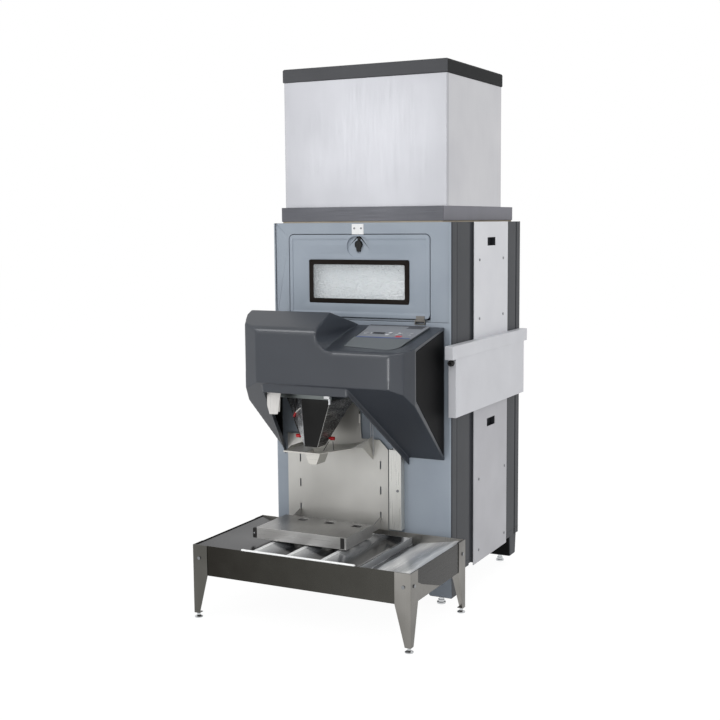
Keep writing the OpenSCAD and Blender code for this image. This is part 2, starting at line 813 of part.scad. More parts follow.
module access_door() {
    y0 = door_y;
    win_w = window_w - 2 * window_in;
    win_h = window_h - 2 * window_in;
    rim = 16;
    slope_h = (door_h - window_h) / 2 - rim;
    slope_w = (door_w - window_w) / 2 - rim;
    x0 = door_x - door_w / 2;
    x1 = door_x + door_w / 2;
    z1 = door_z0 + door_h;
    color("#8a949e") on_face() difference() {
        union() {
            along_y(y0, y0 + 20) door_outline(0);
            along_y(y0 + 19, y0 + door_t) door_outline(opening_in - 16);
        }
        // Four facets that fall from the rim to the window
        along_x(x0 + rim, x1 - rim) polygon([[y0 - 1, door_z0 + rim], [y0 - 1, z1 - rim],
            [y0, z1 - rim], [y0 + 3, z1 - rim - 8], [y0 + 3, door_z0 + rim + 8],
            [y0, door_z0 + rim]]);
        intersection() {
            along_x(x0 + rim, x1 - rim) polygon([[y0, door_z0 + rim + 8], [y0, z1 - rim - 8],
                [y0 + door_dish, z1 - rim - slope_h], [y0 + door_dish, door_z0 + rim + slope_h]]);
            along_y(y0 - 1, y0 + door_t) polygon([[x0 + rim, door_z0], [x1 - rim, door_z0],
                [x1 - rim, z1], [x0 + rim, z1]]);
            linear_extrude(3000) polygon([[x0 + rim + 8, y0], [x1 - rim - 8, y0],
                [x1 - rim - slope_w, y0 + door_dish], [x0 + rim + slope_w, y0 + door_dish]]);
        }
        // Window
        along_y(y0 - 1, y0 + door_dish + 5) translate([window_x, window_z])
            polygon(round_rect(window_w + 2 * slip, window_h + 2 * slip, 8));
        along_y(y0 - 1, y0 + door_t + 1) translate([window_x, window_z])
            polygon(round_rect(win_w, win_h, 8));
        // Oval finger recess, and the channel of the latch's bar inside the door
        along_y(door_y - 1, latch_y) translate([latch_x, latch_z - 10])
            polygon(round_rect(108, 90, 42, 8));
        block([latch_x - latch_w / 2 - slip, latch_y - slip, latch_z - 22 - latch_run],
            [latch_x + latch_w / 2 + slip, latch_y + latch_t + slip, door_z0 + door_h + 1]);
    }
}

module door_gasket() {
    y0 = door_y + door_t;
    color("#2b2a2a") on_face() along_y(y0, y0 + 7.5) difference() {
        door_outline(opening_in - 14);
        translate([door_x, door_zc])
            polygon(round_rect(door_w - 2 * opening_in - 8, door_h - 2 * opening_in - 8, 8));
    }
}

module window_gasket() {
    y0 = door_y + door_dish - 4;
    color("#2c241f") on_face() translate([window_x, 0, window_z]) difference() {
        along_y(y0, door_y + door_dish + 5) difference() {
            polygon(round_rect(window_w, window_h, 8));
            polygon(round_rect(window_w - 2 * gasket_w, window_h - 2 * gasket_w, 6));
        }
        along_y(door_y + door_dish - pane_t / 2 - slip, door_y + door_dish + pane_t / 2 + slip)
            polygon(round_rect(window_w - gasket_w + 2 * slip, window_h - gasket_w + 2 * slip, 5));
    }
}

module door_window() {
    color("#dfe8ee", 0.4) on_face() translate([window_x, 0, window_z])
        along_y(door_y + door_dish - pane_t / 2, door_y + door_dish + pane_t / 2)
            polygon(round_rect(window_w - gasket_w, window_h - gasket_w, 5));
}

// Thumb latch: a keyhole-shaped thumb piece on a sliding bolt
module door_latch() {
    y0 = door_y + 4;
    color("#151617") on_face() {
        block([latch_x - latch_w / 2, latch_y, latch_z - 22],
            [latch_x + latch_w / 2, latch_y + latch_t, latch_top]);
        rod_y(latch_x, latch_z, 17, y0, latch_y);
        along_y(y0, latch_y) translate([latch_x, latch_z - 30])
            polygon([[-8, 0], [8, 0], [12, 24], [-12, 24]]);
    }
}

module latch_keeper() {
    z0 = door_z0 + door_h + 1;
    color("#d9dadb") on_face() block([latch_x - keeper_w / 2, surround_set - 2, z0],
        [latch_x + keeper_w / 2, surround_set, z0 + keeper_h]);
}

// Hinge leaves on the door's face, each with a barrel round its pin
module door_hinge_leaves() {
    color("#c9cbcd") on_face() for (x = hinge_x) difference() {
        union() {
            rod_x(hinge_y, hinge_z, barrel_r, x - barrel_l / 2, x + barrel_l / 2);
            block([x - barrel_l / 2, door_y - 3, hinge_z], [x + barrel_l / 2, door_y, door_z0 + leaf_h]);
        }
        rod_x(hinge_y, hinge_z, pin_r + run_fit, x - barrel_l, x + barrel_l);
    }
}

// Hinge brackets in their notches, with round ears and the pins
module door_hinge_brackets() {
    color("#bfc1c3") on_face() for (x = hinge_x) {
        x0 = x - barrel_l / 2 - 1 - ear_t;
        x1 = x + barrel_l / 2 + 1 + ear_t;
        rod_x(hinge_y, hinge_z, pin_r, x0, x1);
        for (e = [x0, x1 - ear_t]) {
            rod_x(hinge_y, hinge_z, barrel_r, e, e + ear_t);
            block([e, hinge_y - barrel_r, notch_z], [e + ear_t, hinge_y + barrel_r, hinge_z]);
        }
        block([x0, hinge_y - barrel_r, notch_z], [x1, hinge_y + 9, notch_z + 2]);
    }
}

// Hood

// Plan of the hood, drawn in by t
module hood_plan(t) {
    polygon([[-hood_hw + t, 2], [-hood_hw + t, -hood_d + hood_corner_l + t * 0.4],
        [-hood_hw + t * 1.4 + hood_corner_l * 0.28, -hood_d + hood_corner_l * 0.34 + t],
        [-hood_hw + hood_corner_l + t * 0.4, -hood_d + t],
        [hood_hw - hood_corner_r - t * 0.4, -hood_d + t],
        [hood_hw - hood_corner_r * 0.3 - t * 1.4, -hood_d + hood_corner_r * 0.3 + t],
        [hood_hw - t, -hood_d + hood_corner_r + t * 0.4], [hood_hw - t, 2]]);
}

// Side profile of the hood's full width, drawn in by t
module hood_profile(t) {
    e = t > 0 ? 3 : 0;
    r = 14;
    polygon([[e, hood_top(0) - t], [e, hood_low(0) + t * 1.3],
        [-hood_d + t, hood_front_z + t], [-hood_d + t, hood_ridge_z - r * 0.8 - t],
        [-hood_d + r * 0.4 + t, hood_ridge_z - r * 0.2 - t], [-hood_d + r * 1.3 + t, hood_top(-hood_d + r * 1.3) - t]]);
}

// The lower body and the raised part with its swept right end, drawn in by t
module hood_form(t) {
    rr = raised_r + t;
    sx = raised_x - t;
    intersection() {
        union() {
            along_x(-hood_hw, hood_hw) hood_profile(t);
            intersection() {
                along_x(-hood_hw, hood_hw) polygon([[t > 0 ? 3 : 0, hood_front_z + 40],
                    [-hood_d + t, hood_front_z + 40], [-hood_d + t, raised_front_z - 14 - t],
                    [-hood_d + t + 5, raised_front_z - 3 - t],
                    [-hood_d + t + 18, raised_front_z + 8 - t],
                    [-hood_d + raised_set, raised_top_z - t],
                    [t > 0 ? 3 : 0, hood_back_z + 3 - t]]);
                along_y(-hood_d - 1, 4) polygon(concat(
                    [[-hood_hw, hood_front_z], [-hood_hw, raised_top_z + 10],
                    [sx - 6, raised_top_z + 10], [sx, raised_front_z - 6 - t]],
                    arc(sx + rr, hood_ridge_z + rr - t, rr, 180, 270, 8),
                    [[sx + rr, hood_front_z]]));
            }
        }
        linear_extrude(2000) hood_plan(t);
    }
}

// Edges of the hood's opening, at the front and at the bin
open_x0 = [-262, -372];
open_x1 = [124, 226];
open_front = 12;
module hood_opening(grow) {
    polygon([[open_x0[0] - grow, -hood_d + open_front], [open_x1[0] + grow, -hood_d + open_front],
        [open_x1[1] + grow, 3], [open_x0[1] - grow, 3]]);
}

// Outline of a side cover, seen along X
module cover_outline(corner, inset) {
    m = 13 + inset;
    polygon([[-6 - inset, hood_top(0) - m], [-6 - inset, hood_low(0) + m + 8],
        [-hood_d + corner + m, hood_low(-hood_d + corner) + m + 8],
        [-hood_d + corner + m, hood_top(-hood_d + corner) - m]]);
}

module hood_shell() {
    color("#4a4d54") on_face() difference() {
        union() {
            difference() {
                hood_form(0);
                hood_form(hood_t);
                translate([0, 0, hood_wing_z - 60]) linear_extrude(hood_front_z - hood_wing_z + 100)
                    hood_opening(0);
            }
            // Lips that hang along the opening
            intersection() {
                linear_extrude(2000) difference() {
                    intersection() {
                        hood_opening(hood_t);
                        hood_plan(0);
                    }
                    hood_opening(0);
                }
                along_x(-hood_hw, hood_hw) polygon([[0, hood_low(0) - lip_h], [0, hood_low(0) + hood_t],
                    [-hood_d + open_front - hood_t, hood_low(-hood_d + open_front) + hood_t],
                    [-hood_d + open_front - hood_t, hood_low(-hood_d + open_front) - lip_front]]);
            }
        }
        // Windows for the side covers
        along_x(hood_hw - hood_t - 1, hood_hw + 1) cover_outline(hood_corner_r, 0);
        along_x(-hood_hw - 1, -hood_hw + hood_t + 1) cover_outline(hood_corner_l, 0);
        // The surface behind the bin's front stays free
        block([-hood_hw - 1, 0, 0], [hood_hw + 1, 10, 2000]);
    }
}

module hood_cover_right() {
    color("#1f1f20") on_face()
        along_x(hood_hw - hood_t, hood_hw - 1) cover_outline(hood_corner_r, slip);
}
module hood_cover_left() {
    color("#1f1f20") on_face()
        along_x(-hood_hw + 1, -hood_hw + hood_t) cover_outline(hood_corner_l, slip);
}

// Raised panel with a flat keypad and a front that rolls down to the hood
module control_panel() {
    lcd_w = 40;
    lcd_d = 16;
    z = function(y) hood_top(y) + slip;
    color("#8f9194") on_face() difference() {
        intersection() {
            along_x(pad_x0, pad_x1) polygon(concat(
                [[pad_y1, z(pad_y1)], [pad_y1, z(pad_y1) + pad_rise]],
                [[pad_bend_y, z(pad_bend_y) + pad_rise]],
                [for (i = [1:6]) let (y = pad_bend_y + (pad_y0 - pad_bend_y) * i / 6)
                    [y, z(y) + pad_rise * cos(i * 15)]]));
            linear_extrude(2000) polygon(concat([[pad_x0, pad_y1], [pad_x0 + 20, pad_y0 + 20]],
                arc(pad_x1 - 66, pad_y0 + 50, 50, 270, 350, 5), [[pad_x1 - 6, pad_y1]]));
        }
        for (x = key_x) block([x - key_w / 2 - slip, key_y - key_d / 2 - slip, hood_top(key_y) - 20],
            [x + key_w / 2 + slip, key_y + key_d / 2 + slip, hood_top(key_y) + 30]);
        // Shallow recess of the display
        translate([key_x[0] + 52, key_y, hood_top(key_y) + slip + pad_rise])
            rotate([atan(hood_slope), 0, 0])
                cube([lcd_w, lcd_d, 2], center = true);
    }
}

// A key that travels down into the panel
module key(i) {
    color("#d5d6d8") on_face()
        translate([key_x[i], key_y, hood_top(key_y) + slip + pad_rise + key_rise - 8])
            linear_extrude(8) square([key_w, key_d], center = true);
}
module key_1() { key(0); }
module key_2() { key(1); }
module key_3() { key(2); }
module key_4() { key(3); }

// Dispenser

// Frame inside the hood that carries the chute, with a gusset on the left
frame_x0 = auger_x - 222;
frame_x1 = auger_x + chute_w / 2 + 35;
frame_x2 = auger_x + 98 + chute_flare_r + 4;
module chute_frame() {
    z1 = chute_z2 + 9;
    z0 = z1 - frame_h;
    rail_y = chute_y0 - slip;
    gusset_w = 86;
    // The gusset keeps clear of the lip at the hood's opening
    lip_x = open_x0[0] + (open_x0[1] - open_x0[0]) * (rail_y + hood_d - open_front) / (hood_d - open_front) + 4;
    lip_z = hood_low(rail_y) + 2 * hood_t + 4;
    color("#c9cacb") on_face() {
        block([frame_x0, rail_y - frame_t, z0], [frame_x1, rail_y, z1]);
        block([frame_x0, rail_y - frame_t, z0], [frame_x0 + frame_t, 0, z1]);
        translate([0, 0, z0]) linear_extrude(frame_h) polygon([[frame_x1 - 1, rail_y - frame_t],
            [frame_x1 + frame_t, rail_y - frame_t], [frame_x2 + frame_t, chute_y1],
            [frame_x2 + frame_t, 0], [frame_x2, 0], [frame_x2, chute_y1], [frame_x1, rail_y]]);
        along_y(rail_y - frame_t, rail_y) polygon([[frame_x0, z0 + 1], [frame_x0 + gusset_w, z0 + 1],
            [frame_x0 + gusset_w - 4, lip_z - 42], [lip_x, lip_z - 42], [lip_x, lip_z], [frame_x0, lip_z]]);
    }
}

// Corners of the chute at its mouth and at its outlet, drawn in by t
function chute_mouth(t) = [[auger_x + 98 - chute_w + t, chute_y0 + t], [auger_x + 98 - t, chute_y0 + t],
    [auger_x + 98 + chute_flare_r - t, chute_y1 - t],
    [auger_x + 98 - chute_w - chute_flare + 2.4 * t, chute_y1 - t]];
function chute_outlet(t) = [[auger_x + 30 - chute_out_w + t, outlet_y0 + t], [auger_x + 30 - t, outlet_y0 + t],
    [auger_x + 30 - t, outlet_y0 + chute_out_d - t],
    [auger_x - 3 - chute_out_w + 1.6 * t, outlet_y0 + chute_out_d - t]];

// The space between the mouth and the outlet, as one solid of flat faces
module chute_space(t, over) {
    points = concat([for (p = chute_outlet(t)) [p[0], p[1], chute_z0 - over]],
        [for (p = chute_mouth(t)) [p[0], p[1], chute_z1]], [for (p = chute_mouth(t)) [p[0], p[1], chute_z2 + over]]);
    polyhedron(points, concat([[0, 1, 2, 3], [11, 10, 9, 8]],
        [for (k = [0, 4], i = [0:3]) let (a = k + i, b = k + (i + 1) % 4)
            each [[a, a + 4, b], [b, a + 4, b + 4]]]));
}

module chute_funnel() {
    rim = 6;
    color("#3c3e40") on_face() difference() {
        union() {
            difference() {
                chute_space(0, 0);
                chute_space(chute_t, 1);
            }
            // Ears that hang the chute on the frame
            block([frame_x0 + frame_t, chute_y1 - rim, chute_z2 - 2], [frame_x2 - 2, chute_y1, chute_z2 + 1]);
            block([frame_x2 - 4, chute_y1, chute_z2 - 2], [frame_x2, chute_y1 + 30, chute_z2 + 1]);
            block([frame_x2 - 4, chute_y1 - 1, chute_z2 - 2], [frame_x2 - 2, chute_y1 + 1, chute_z2 + 1]);
        }
        on_auger() translate([0, 0, tube_s0]) cylinder(r = tube_r + tube_t + gap / 2, h = tube_s1 - tube_s0);
    }
}

module auger_tube() {
    r = tube_r + tube_t;
    color("#b8babc") on_face() on_auger() difference() {
        translate([0, 0, tube_s0]) cylinder(r = r, h = tube_s1 - tube_s0);
        translate([0, 0, tube_s0 + tube_t]) cylinder(r = tube_r, h = tube_s1 - tube_s0);
        translate([0, 0, tube_s0 - 1]) cylinder(r = shaft_r + gap, h = tube_t + 2);
        // Outlet over the chute, on the underside
        translate([-tube_r * 0.8, tube_r * 0.3, flight_s0]) cube([tube_r * 1.6, r, 110]);
    }
}

// Helical flight as one swept strip round the shaft
function flight_ring(a, s) = [
    [(shaft_r - 1) * cos(a), (shaft_r - 1) * sin(a), s],
    [flight_r * cos(a), flight_r * sin(a), s],
    [flight_r * cos(a), flight_r * sin(a), s + flight_t],
    [(shaft_r - 1) * cos(a), (shaft_r - 1) * sin(a), s + flight_t]];
flight_steps = 20;
flight_turns = floor((flight_s1 - flight_s0 - flight_t) / flight_pitch);
flight_n = flight_turns * flight_steps;
flight_pts = [for (i = [0:flight_n], p = flight_ring(i * 360 / flight_steps,
    flight_s0 + i * flight_pitch / flight_steps)) p];
flight_faces = concat([[3, 2, 1, 0]],
    [for (i = [0:flight_n - 1], j = [0:3]) let (a = 4 * i + j, b = 4 * i + (j + 1) % 4)
        each [[a, b, a + 4], [b, b + 4, a + 4]]],
    [[for (j = [0:3]) 4 * flight_n + j]]);

module auger() {
    color("#c2c4c6") on_face() on_auger() {
        translate([0, 0, tube_s0 - gearbox_l + 6])
            cylinder(r = shaft_r, h = bearing_s1 - tube_s0 + gearbox_l - 8);
        polyhedron(flight_pts, flight_faces);
    }
}

module gearmotor() {
    color("#3a3c40") on_face() on_auger() difference() {
        union() {
            translate([-gearbox_w / 2, -gearbox_w / 2, tube_s0 - gearbox_l])
                cube([gearbox_w, gearbox_w, gearbox_l]);
            translate([0, 0, tube_s0 - gearbox_l - motor_l]) cylinder(r = motor_r, h = motor_l);
        }
        translate([0, 0, tube_s0 - gearbox_l + 4]) cylinder(r = shaft_r + run_fit, h = gearbox_l);
    }
}

// Two red-capped level sensors on the chute's flanks
sensor_z = 715;
function at_sensor(i) = let (a = chute_outlet(0)[i], b = chute_mouth(0)[i])
    a + (b - a) * (sensor_z - chute_z0) / (chute_z1 - chute_z0);
function flank_x(i, j) = let (a = at_sensor(i), b = at_sensor(j))
    a[0] + (b[0] - a[0]) * (mouth_y - a[1]) / (b[1] - a[1]);
module sensor_heads() {
    head_l = 18;
    head_x = 8;
    // The stubs end just clear of the slanting flanks
    right_x = flank_x(1, 2) + 0.9;
    left_x = flank_x(0, 3) - 4.9;
    color("#b3131b") on_face() for (side = [[1, right_x], [-1, left_x]]) {
        x = side[1];
        rod_x(mouth_y, sensor_z, 8, min(x + side[0] * head_x, x + side[0] * (head_x + head_l)),
            max(x + side[0] * head_x, x + side[0] * (head_x + head_l)));
        rod_x(mouth_y, sensor_z, 4, min(x, x + side[0] * (head_x + 1)), max(x, x + side[0] * (head_x + 1)));
    }
}

// Lower guide: a formed plate that rises to the right, with side flanges and a tapered spout
module spout_guide() {
    x0 = auger_x - 138;
    x1 = auger_x + 176;
    y0 = -guide_d;
    y1 = plate_y - plate_t;
    t = 2;
    hole = 36;
    out_hw = 16;
    spout_h = 48;
    rise = 30;
    cy = spout_y;
    z0 = guide_z;
    color("#b9bbbd") on_face() {
        difference() {
            along_y(y0, y1) polygon([[x0, z0], [auger_x + hole, z0], [x1, z0 + rise],
                [x1, z0 + rise + t], [auger_x + hole, z0 + t], [x0, z0 + t]]);
            block([auger_x - hole, cy - hole, z0 - 1], [auger_x + hole, cy + hole, z0 + t + 1]);
        }
        // Tapered spout
        difference() {
            along_y(cy - hole - t, cy + hole + t) polygon([[auger_x - hole - t, z0 + t],
                [auger_x - out_hw - t, z0 - spout_h], [auger_x + out_hw + t, z0 - spout_h],
                [auger_x + hole + t, z0 + t]]);
            along_y(cy - hole, cy + hole) polygon([[auger_x - hole, z0 + t + 1],
                [auger_x - out_hw, z0 - spout_h - 1], [auger_x + out_hw, z0 - spout_h - 1],
                [auger_x + hole, z0 + t + 1]]);
        }
        // Side flanges and the folded front edge
        along_x(x1 - t, x1) polygon([[y0 + 30, z0 + rise + 1], [y1, z0 + rise + 20],
            [y1, z0 - 52], [y0 + 120, z0 + rise - 12]]);
        along_x(x0, x0 + t) polygon([[y0 + 30, z0], [y0 + 60, z0 + 12], [y1, z0 + 12], [y1, z0 - 52]]);
        block([x0, y0, z0 - 5], [auger_x + hole, y0 + t, z0 + t]);
    }
}

// Stainless plate on the bin's face, with the slots that the shelf hooks into
module back_plate() {
    upper_hw = 120;
    // The plate ends under the auger's tube
    top_z = axis_z(plate_y) - (tube_r + tube_t) / cos(auger_tilt) - 6;
    cham = 40;
    slot_w = hook_t + 2;
    slot_pitch = 110;
    color("#bdbfc1") on_face() difference() {
        along_y(plate_y - plate_t, plate_y) polygon([[plate_x0, plate_z0], [plate_x1, plate_z0],
            [plate_x1, plate_z1 - cham], [plate_x1 - cham, plate_z1], [auger_x + upper_hw, plate_z1],
            [auger_x + upper_hw - 8, top_z], [auger_x - upper_hw + 8, top_z],
            [auger_x - upper_hw, plate_z1], [plate_x0, plate_z1]]);
        for (i = [0:2], x = hook_x)
            block([x - slot_w / 2, plate_y - plate_t - 1, shelf_z + 2 + i * slot_pitch],
                [x + slot_w / 2, plate_y + 1, shelf_z + 2 + hook_slot_h + i * slot_pitch]);
    }
    // Spacers that hold the plate off the bin's face
    color("#bdbfc1") on_face() for (x = [plate_x0 + 20, plate_x1 - 20], z = [plate_z0 + 60, plate_z1 - 70])
        rod_y(x, z, 10, plate_y, 0);
}

module back_channel() {
    x0 = plate_x1 + 14;
    z0 = table_z + 8;
    z1 = plate_z1 - 34;
    t = 2;
    color("#c2c3c4") on_face() {
        block([x0, plate_y - plate_t - 22, z0], [x0 + channel_w, plate_y - plate_t - 20, z1]);
        for (x = [x0, x0 + channel_w - t])
            block([x, plate_y - plate_t - 22, z0], [x + t, 0, z1]);
    }
}

// Side box

box_x0 = half_w + slip;
box_y1 = bin_d - box_rear;

module control_box() {
    t = 1.5;
    z1 = box_z0 + box_h;
    color("#bfc0c2") on_face() difference() {
        block([box_x0, -box_front, box_z0], [box_x0 + box_w, box_y1, z1]);
        block([box_x0 + t, -box_front + t, box_z0 + t], [box_x0 + box_w - t, box_y1 - t, z1 + 1]);
        rod_y(box_x0 + box_w * 0.5, z1 - 16, 9, -box_front - 1, -box_front + 3);
    }
}

module control_box_lid() {
    t = 2;
    z0 = box_z0 + box_h;
    z1 = z0 + lid_h;
    x1 = box_x0 + box_w + 2;
    color("#c4c5c7") on_face() difference() {
        block([box_x0, -box_front - lid_over, z0], [x1, box_y1 + lid_over, z1]);
        block([box_x0 + t, -box_front - lid_over + t, z0 - 1], [x1 - t, box_y1 + lid_over - t, z1 - t]);
    }
    // Seat of the lid on the box
    color("#c4c5c7") on_face() difference() {
        block([box_x0 + t, -box_front, z0], [x1 - t, box_y1, z0 + 2]);
        block([box_x0 + 6, -box_front + 6, z0 - 1], [x1 - 8, box_y1 - 6, z0 + 3]);
    }
}

module cable_gland() {
    x = box_x0 + box_w * 0.5;
    z = box_z0 + box_h - 16;
    r = 9 - slip;
    color("#1c1d1e") on_face() difference() {
        union() {
            rod_y(x, z, r, -box_front - 2, -box_front + 8);
            rod_y(x, z, 12, -box_front - 5, -box_front);
            translate([x, -box_front - 5, z]) rotate([90, 0, 0]) cylinder(r = 13, h = 12, $fn = 12);
            rod_y(x, z, 10, -box_front - 26, -box_front - 17);
            translate([x, -box_front + 3, z]) rotate([-90, 0, 0]) cylinder(r = 13, h = 4, $fn = 6);
        }
        rod_y(x, z, 5, -box_front - 27, -box_front + 9);
    }
}

// Table

module table_frame() {
    w = table_w / 2 - leg_t;
    y0 = table_y0 + leg_t;
    y1 = table_y1 - leg_t;
    spacer_x = 300;
    color("#8f9193") {
        difference() {
            block([-w, y0, skirt_z0], [w, y1, table_z]);
            block([-w + table_t, y0 + table_t, skirt_z0 - 1], [w - table_t, y1 - table_t, table_z + 1]);
        }
        // Spacers that hold the table against the bin's face
        for (x = [-spacer_x, spacer_x])
            block([x - 20, y1 - 1, skirt_z0 + 37], [x + 20, face_y, skirt_z0 + 67]);
    }
}

// Sloping wings, ledges for the grate, and a sump that falls to its drain
module table_top() {
    w = table_w / 2 - leg_t - table_t;
    y0 = table_y0 + leg_t + table_t;
    y1 = table_y1 - leg_t - table_t;
    rim_z = table_z - 4;
    t = table_t;
    in_hw = sump_hw - ledge_in;
    color("#b5b7b9") difference() {
        along_y(y0, y1) polygon([
            [-w, rim_z], [-sump_hw, sump_ledge_z], [-in_hw, sump_ledge_z], [-in_hw, sump_z + 8],
            [0, sump_z], [in_hw, sump_z + 8], [in_hw, sump_ledge_z], [sump_hw, sump_ledge_z], [w, rim_z],
            [w, rim_z - t], [sump_hw, sump_ledge_z - t], [in_hw + t, sump_ledge_z - t],
            [in_hw + t, sump_z + 8 - t], [0, sump_z - t], [-in_hw - t, sump_z + 8 - t],
            [-in_hw - t, sump_ledge_z - t], [-sump_hw, sump_ledge_z - t], [-w, rim_z - t]]);
        translate([0, table_drain_y, sump_z - 20]) cylinder(r = table_drain_r, h = 40);
    }
}

// An angle leg that tapers to its foot, drawn for the right front corner
module table_leg() {
    x1 = table_w / 2;
    top_w = leg_w;
    z0 = table_foot_h;
    difference() {
        union() {
            along_y(table_y0, table_y0 + leg_t) polygon([[x1, z0], [x1, table_z], [x1 - top_w, table_z],
                [x1 - top_w, skirt_z0], [x1 - leg_foot_w, z0]]);
            along_x(x1 - leg_t, x1) polygon([[table_y0, z0], [table_y0, table_z],
                [table_y0 + top_w, table_z], [table_y0 + top_w, skirt_z0], [table_y0 + leg_foot_w, z0]]);
            // Foot plate with the levelling foot's seat
            block([x1 - leg_foot_w, table_y0, z0], [x1, table_y0 + leg_foot_w, z0 + 3]);
        }
    }
}

// Puts a corner piece on all four corners
module on_corners() {
    mid = (table_y0 + table_y1) / 2;
    for (sx = [0, 1], sy = [0, 1])
        mirror([sx, 0, 0]) translate([0, mid, 0]) mirror([0, sy, 0]) translate([0, -mid, 0]) children();
}

module table_legs() { color("#aeb0b2") on_corners() table_leg(); }

module table_feet() {
    c = leg_foot_w / 2;
    color("#c9cbcd") on_corners() translate([table_w / 2 - c, table_y0 + c, 0]) {
        rotate_extrude() polygon([[0, 0], [table_foot_r, 0], [table_foot_r, 4], [10, 8], [7, 10],
            [7, table_foot_h], [0, table_foot_h]]);
    }
}

// Lift-out grate: wide folded slats under a round bar that hooks over the front rim
module grate() {
    y0 = table_y0 - 5;
    y1 = table_y1 - leg_t - table_t - gap;
    yf = table_y0 + leg_t + table_t + 2;
    w = sump_hw - slip - 2;
    rest_z = sump_ledge_z + slip;
    t = 2;
    rail_w = 40;
    pitch = (2 * w - rail_w) / slat_n;
    ridge_w = 20;
    fold = 10;
    high_z = rest_z + t + 24;
    color("#c3c5c7") {
        rotate([0, 90, 0]) translate([-table_z - 4.3, y0 + 5, -w]) cylinder(r = 4, h = 2 * w);
        // Fold from the bar over the rim, and the web at the rear
        along_x(-w, w) polygon([[y0 + 5, table_z + slip], [y0 + 5, table_z + 4], [yf + t, table_z + 4],
            [yf + t, rest_z], [yf, rest_z], [yf, table_z + slip]]);
        block([-w, y1 - t, rest_z], [w, y1, high_z]);
        for (y = [yf, y1 - 14]) block([-w, y, rest_z], [w, y + 14, rest_z + t]);
        // Each slat falls from its folded ridge to the right, under the next ridge
        for (i = [0:slat_n - 1]) let (x0 = -w + i * pitch, x1 = x0 + pitch - 6)
            along_y(yf, y1) polygon([[x0, high_z - fold], [x0, high_z], [x0 + ridge_w, high_z],
                [x1, rest_z + 2 * t], [x1, rest_z + t - 0.5], [x1 - 8, rest_z + t - 0.5],
                [x0 + ridge_w - 0.3, high_z - t], [x0 + t, high_z - t], [x0 + t, high_z - fold]]);
        // Rail along the right edge
        along_y(yf, y1) polygon([[w - rail_w, rest_z], [w, rest_z], [w, high_z + 4],
            [w - t, high_z + 4], [w - t, rest_z + t], [w - rail_w, rest_z + t]]);
    }
}

// Lift-off fill shelf: a folded tray with slots, on two arms that hook into the back plate
module fill_shelf() {
    x0 = shelf_x - shelf_w / 2;
    x1 = shelf_x + shelf_w / 2;
    y0 = shelf_y1 - shelf_d;
    t = 2;
    slot_n = 3;
    front_y = plate_y - plate_t - slip;
    back_y = plate_y + slip;
    color("#bcbec0") on_face() {
        difference() {
            block([x0, y0, shelf_z - shelf_h], [x1, shelf_y1, shelf_z]);
            block([x0 + t, y0 + t, shelf_z - shelf_h - 1], [x1 - t, shelf_y1 - t, shelf_z - t]);
            for (i = [0:slot_n - 1])
                block([x1 - 70 - i * 130, shelf_y1 - 66, shelf_z - t - 1],
                    [x1 - 30 - i * 130, shelf_y1 - 30, shelf_z + 1]);
        }
        // Arms with hooks that pass through the plate's slots and drop behind it
        for (x = hook_x) along_x(x - hook_t / 2, x + hook_t / 2) polygon([
            [shelf_y1 - t, shelf_z - 4], [shelf_y1 + 20, shelf_z - 4], [front_y - 12, shelf_z + 12],
            [back_y + 2.5, shelf_z + 12], [back_y + 2.5, shelf_z - 6], [back_y, shelf_z - 6],
            [back_y, shelf_z + 2 + slip], [front_y, shelf_z + 2 + slip], [front_y, shelf_z - 34],
            [shelf_y1 - t, shelf_z - 34]]);
    }
}

bin_front_wall();
bin_side_walls();
bin_rear_wall();
bin_base();
front_surround();
bin_feet();
drain_fittings();
side_panel_upper_right();
side_panel_lower_right();
side_panel_upper_left();
side_panel_lower_left();
screws();
adapter_frame();
adapter_front_trim();
adapter_gasket();
access_door();
door_gasket();
window_gasket();
door_window();
door_latch();
latch_keeper();
door_hinge_leaves();
door_hinge_brackets();
head_base();
head_front_panel();
head_right_panel();
head_left_panel();
head_rear_panel();
head_top_cap();
evaporator();
compressor();
condenser();
fan_motor();
condenser_fan();
hood_shell();
hood_cover_right();
hood_cover_left();
control_panel();
key_1();
key_2();
key_3();
key_4();
chute_frame();
chute_funnel();
auger_tube();
auger();
gearmotor();
sensor_heads();
spout_guide();
back_plate();
back_channel();
control_box();
control_box_lid();
cable_gland();
table_frame();
table_top();
table_legs();
table_feet();
grate();
fill_shelf();
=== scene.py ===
# %% [markdown]
# # An ice dispensing bin, dressed in Blender
#
# The construction model comes in as a fixed frame: every solid already has its place, in
# metres, with X to the right, Y to the back and Z up. This lesson adds the camera, the
# studio, the finishes and the shapes that a plain solid can't show, one piece at a time.
# FACE is the y of the bin's front, from which depths are counted.

import json
import math
import random

import bmesh
import bpy
from mathutils import Matrix, Vector


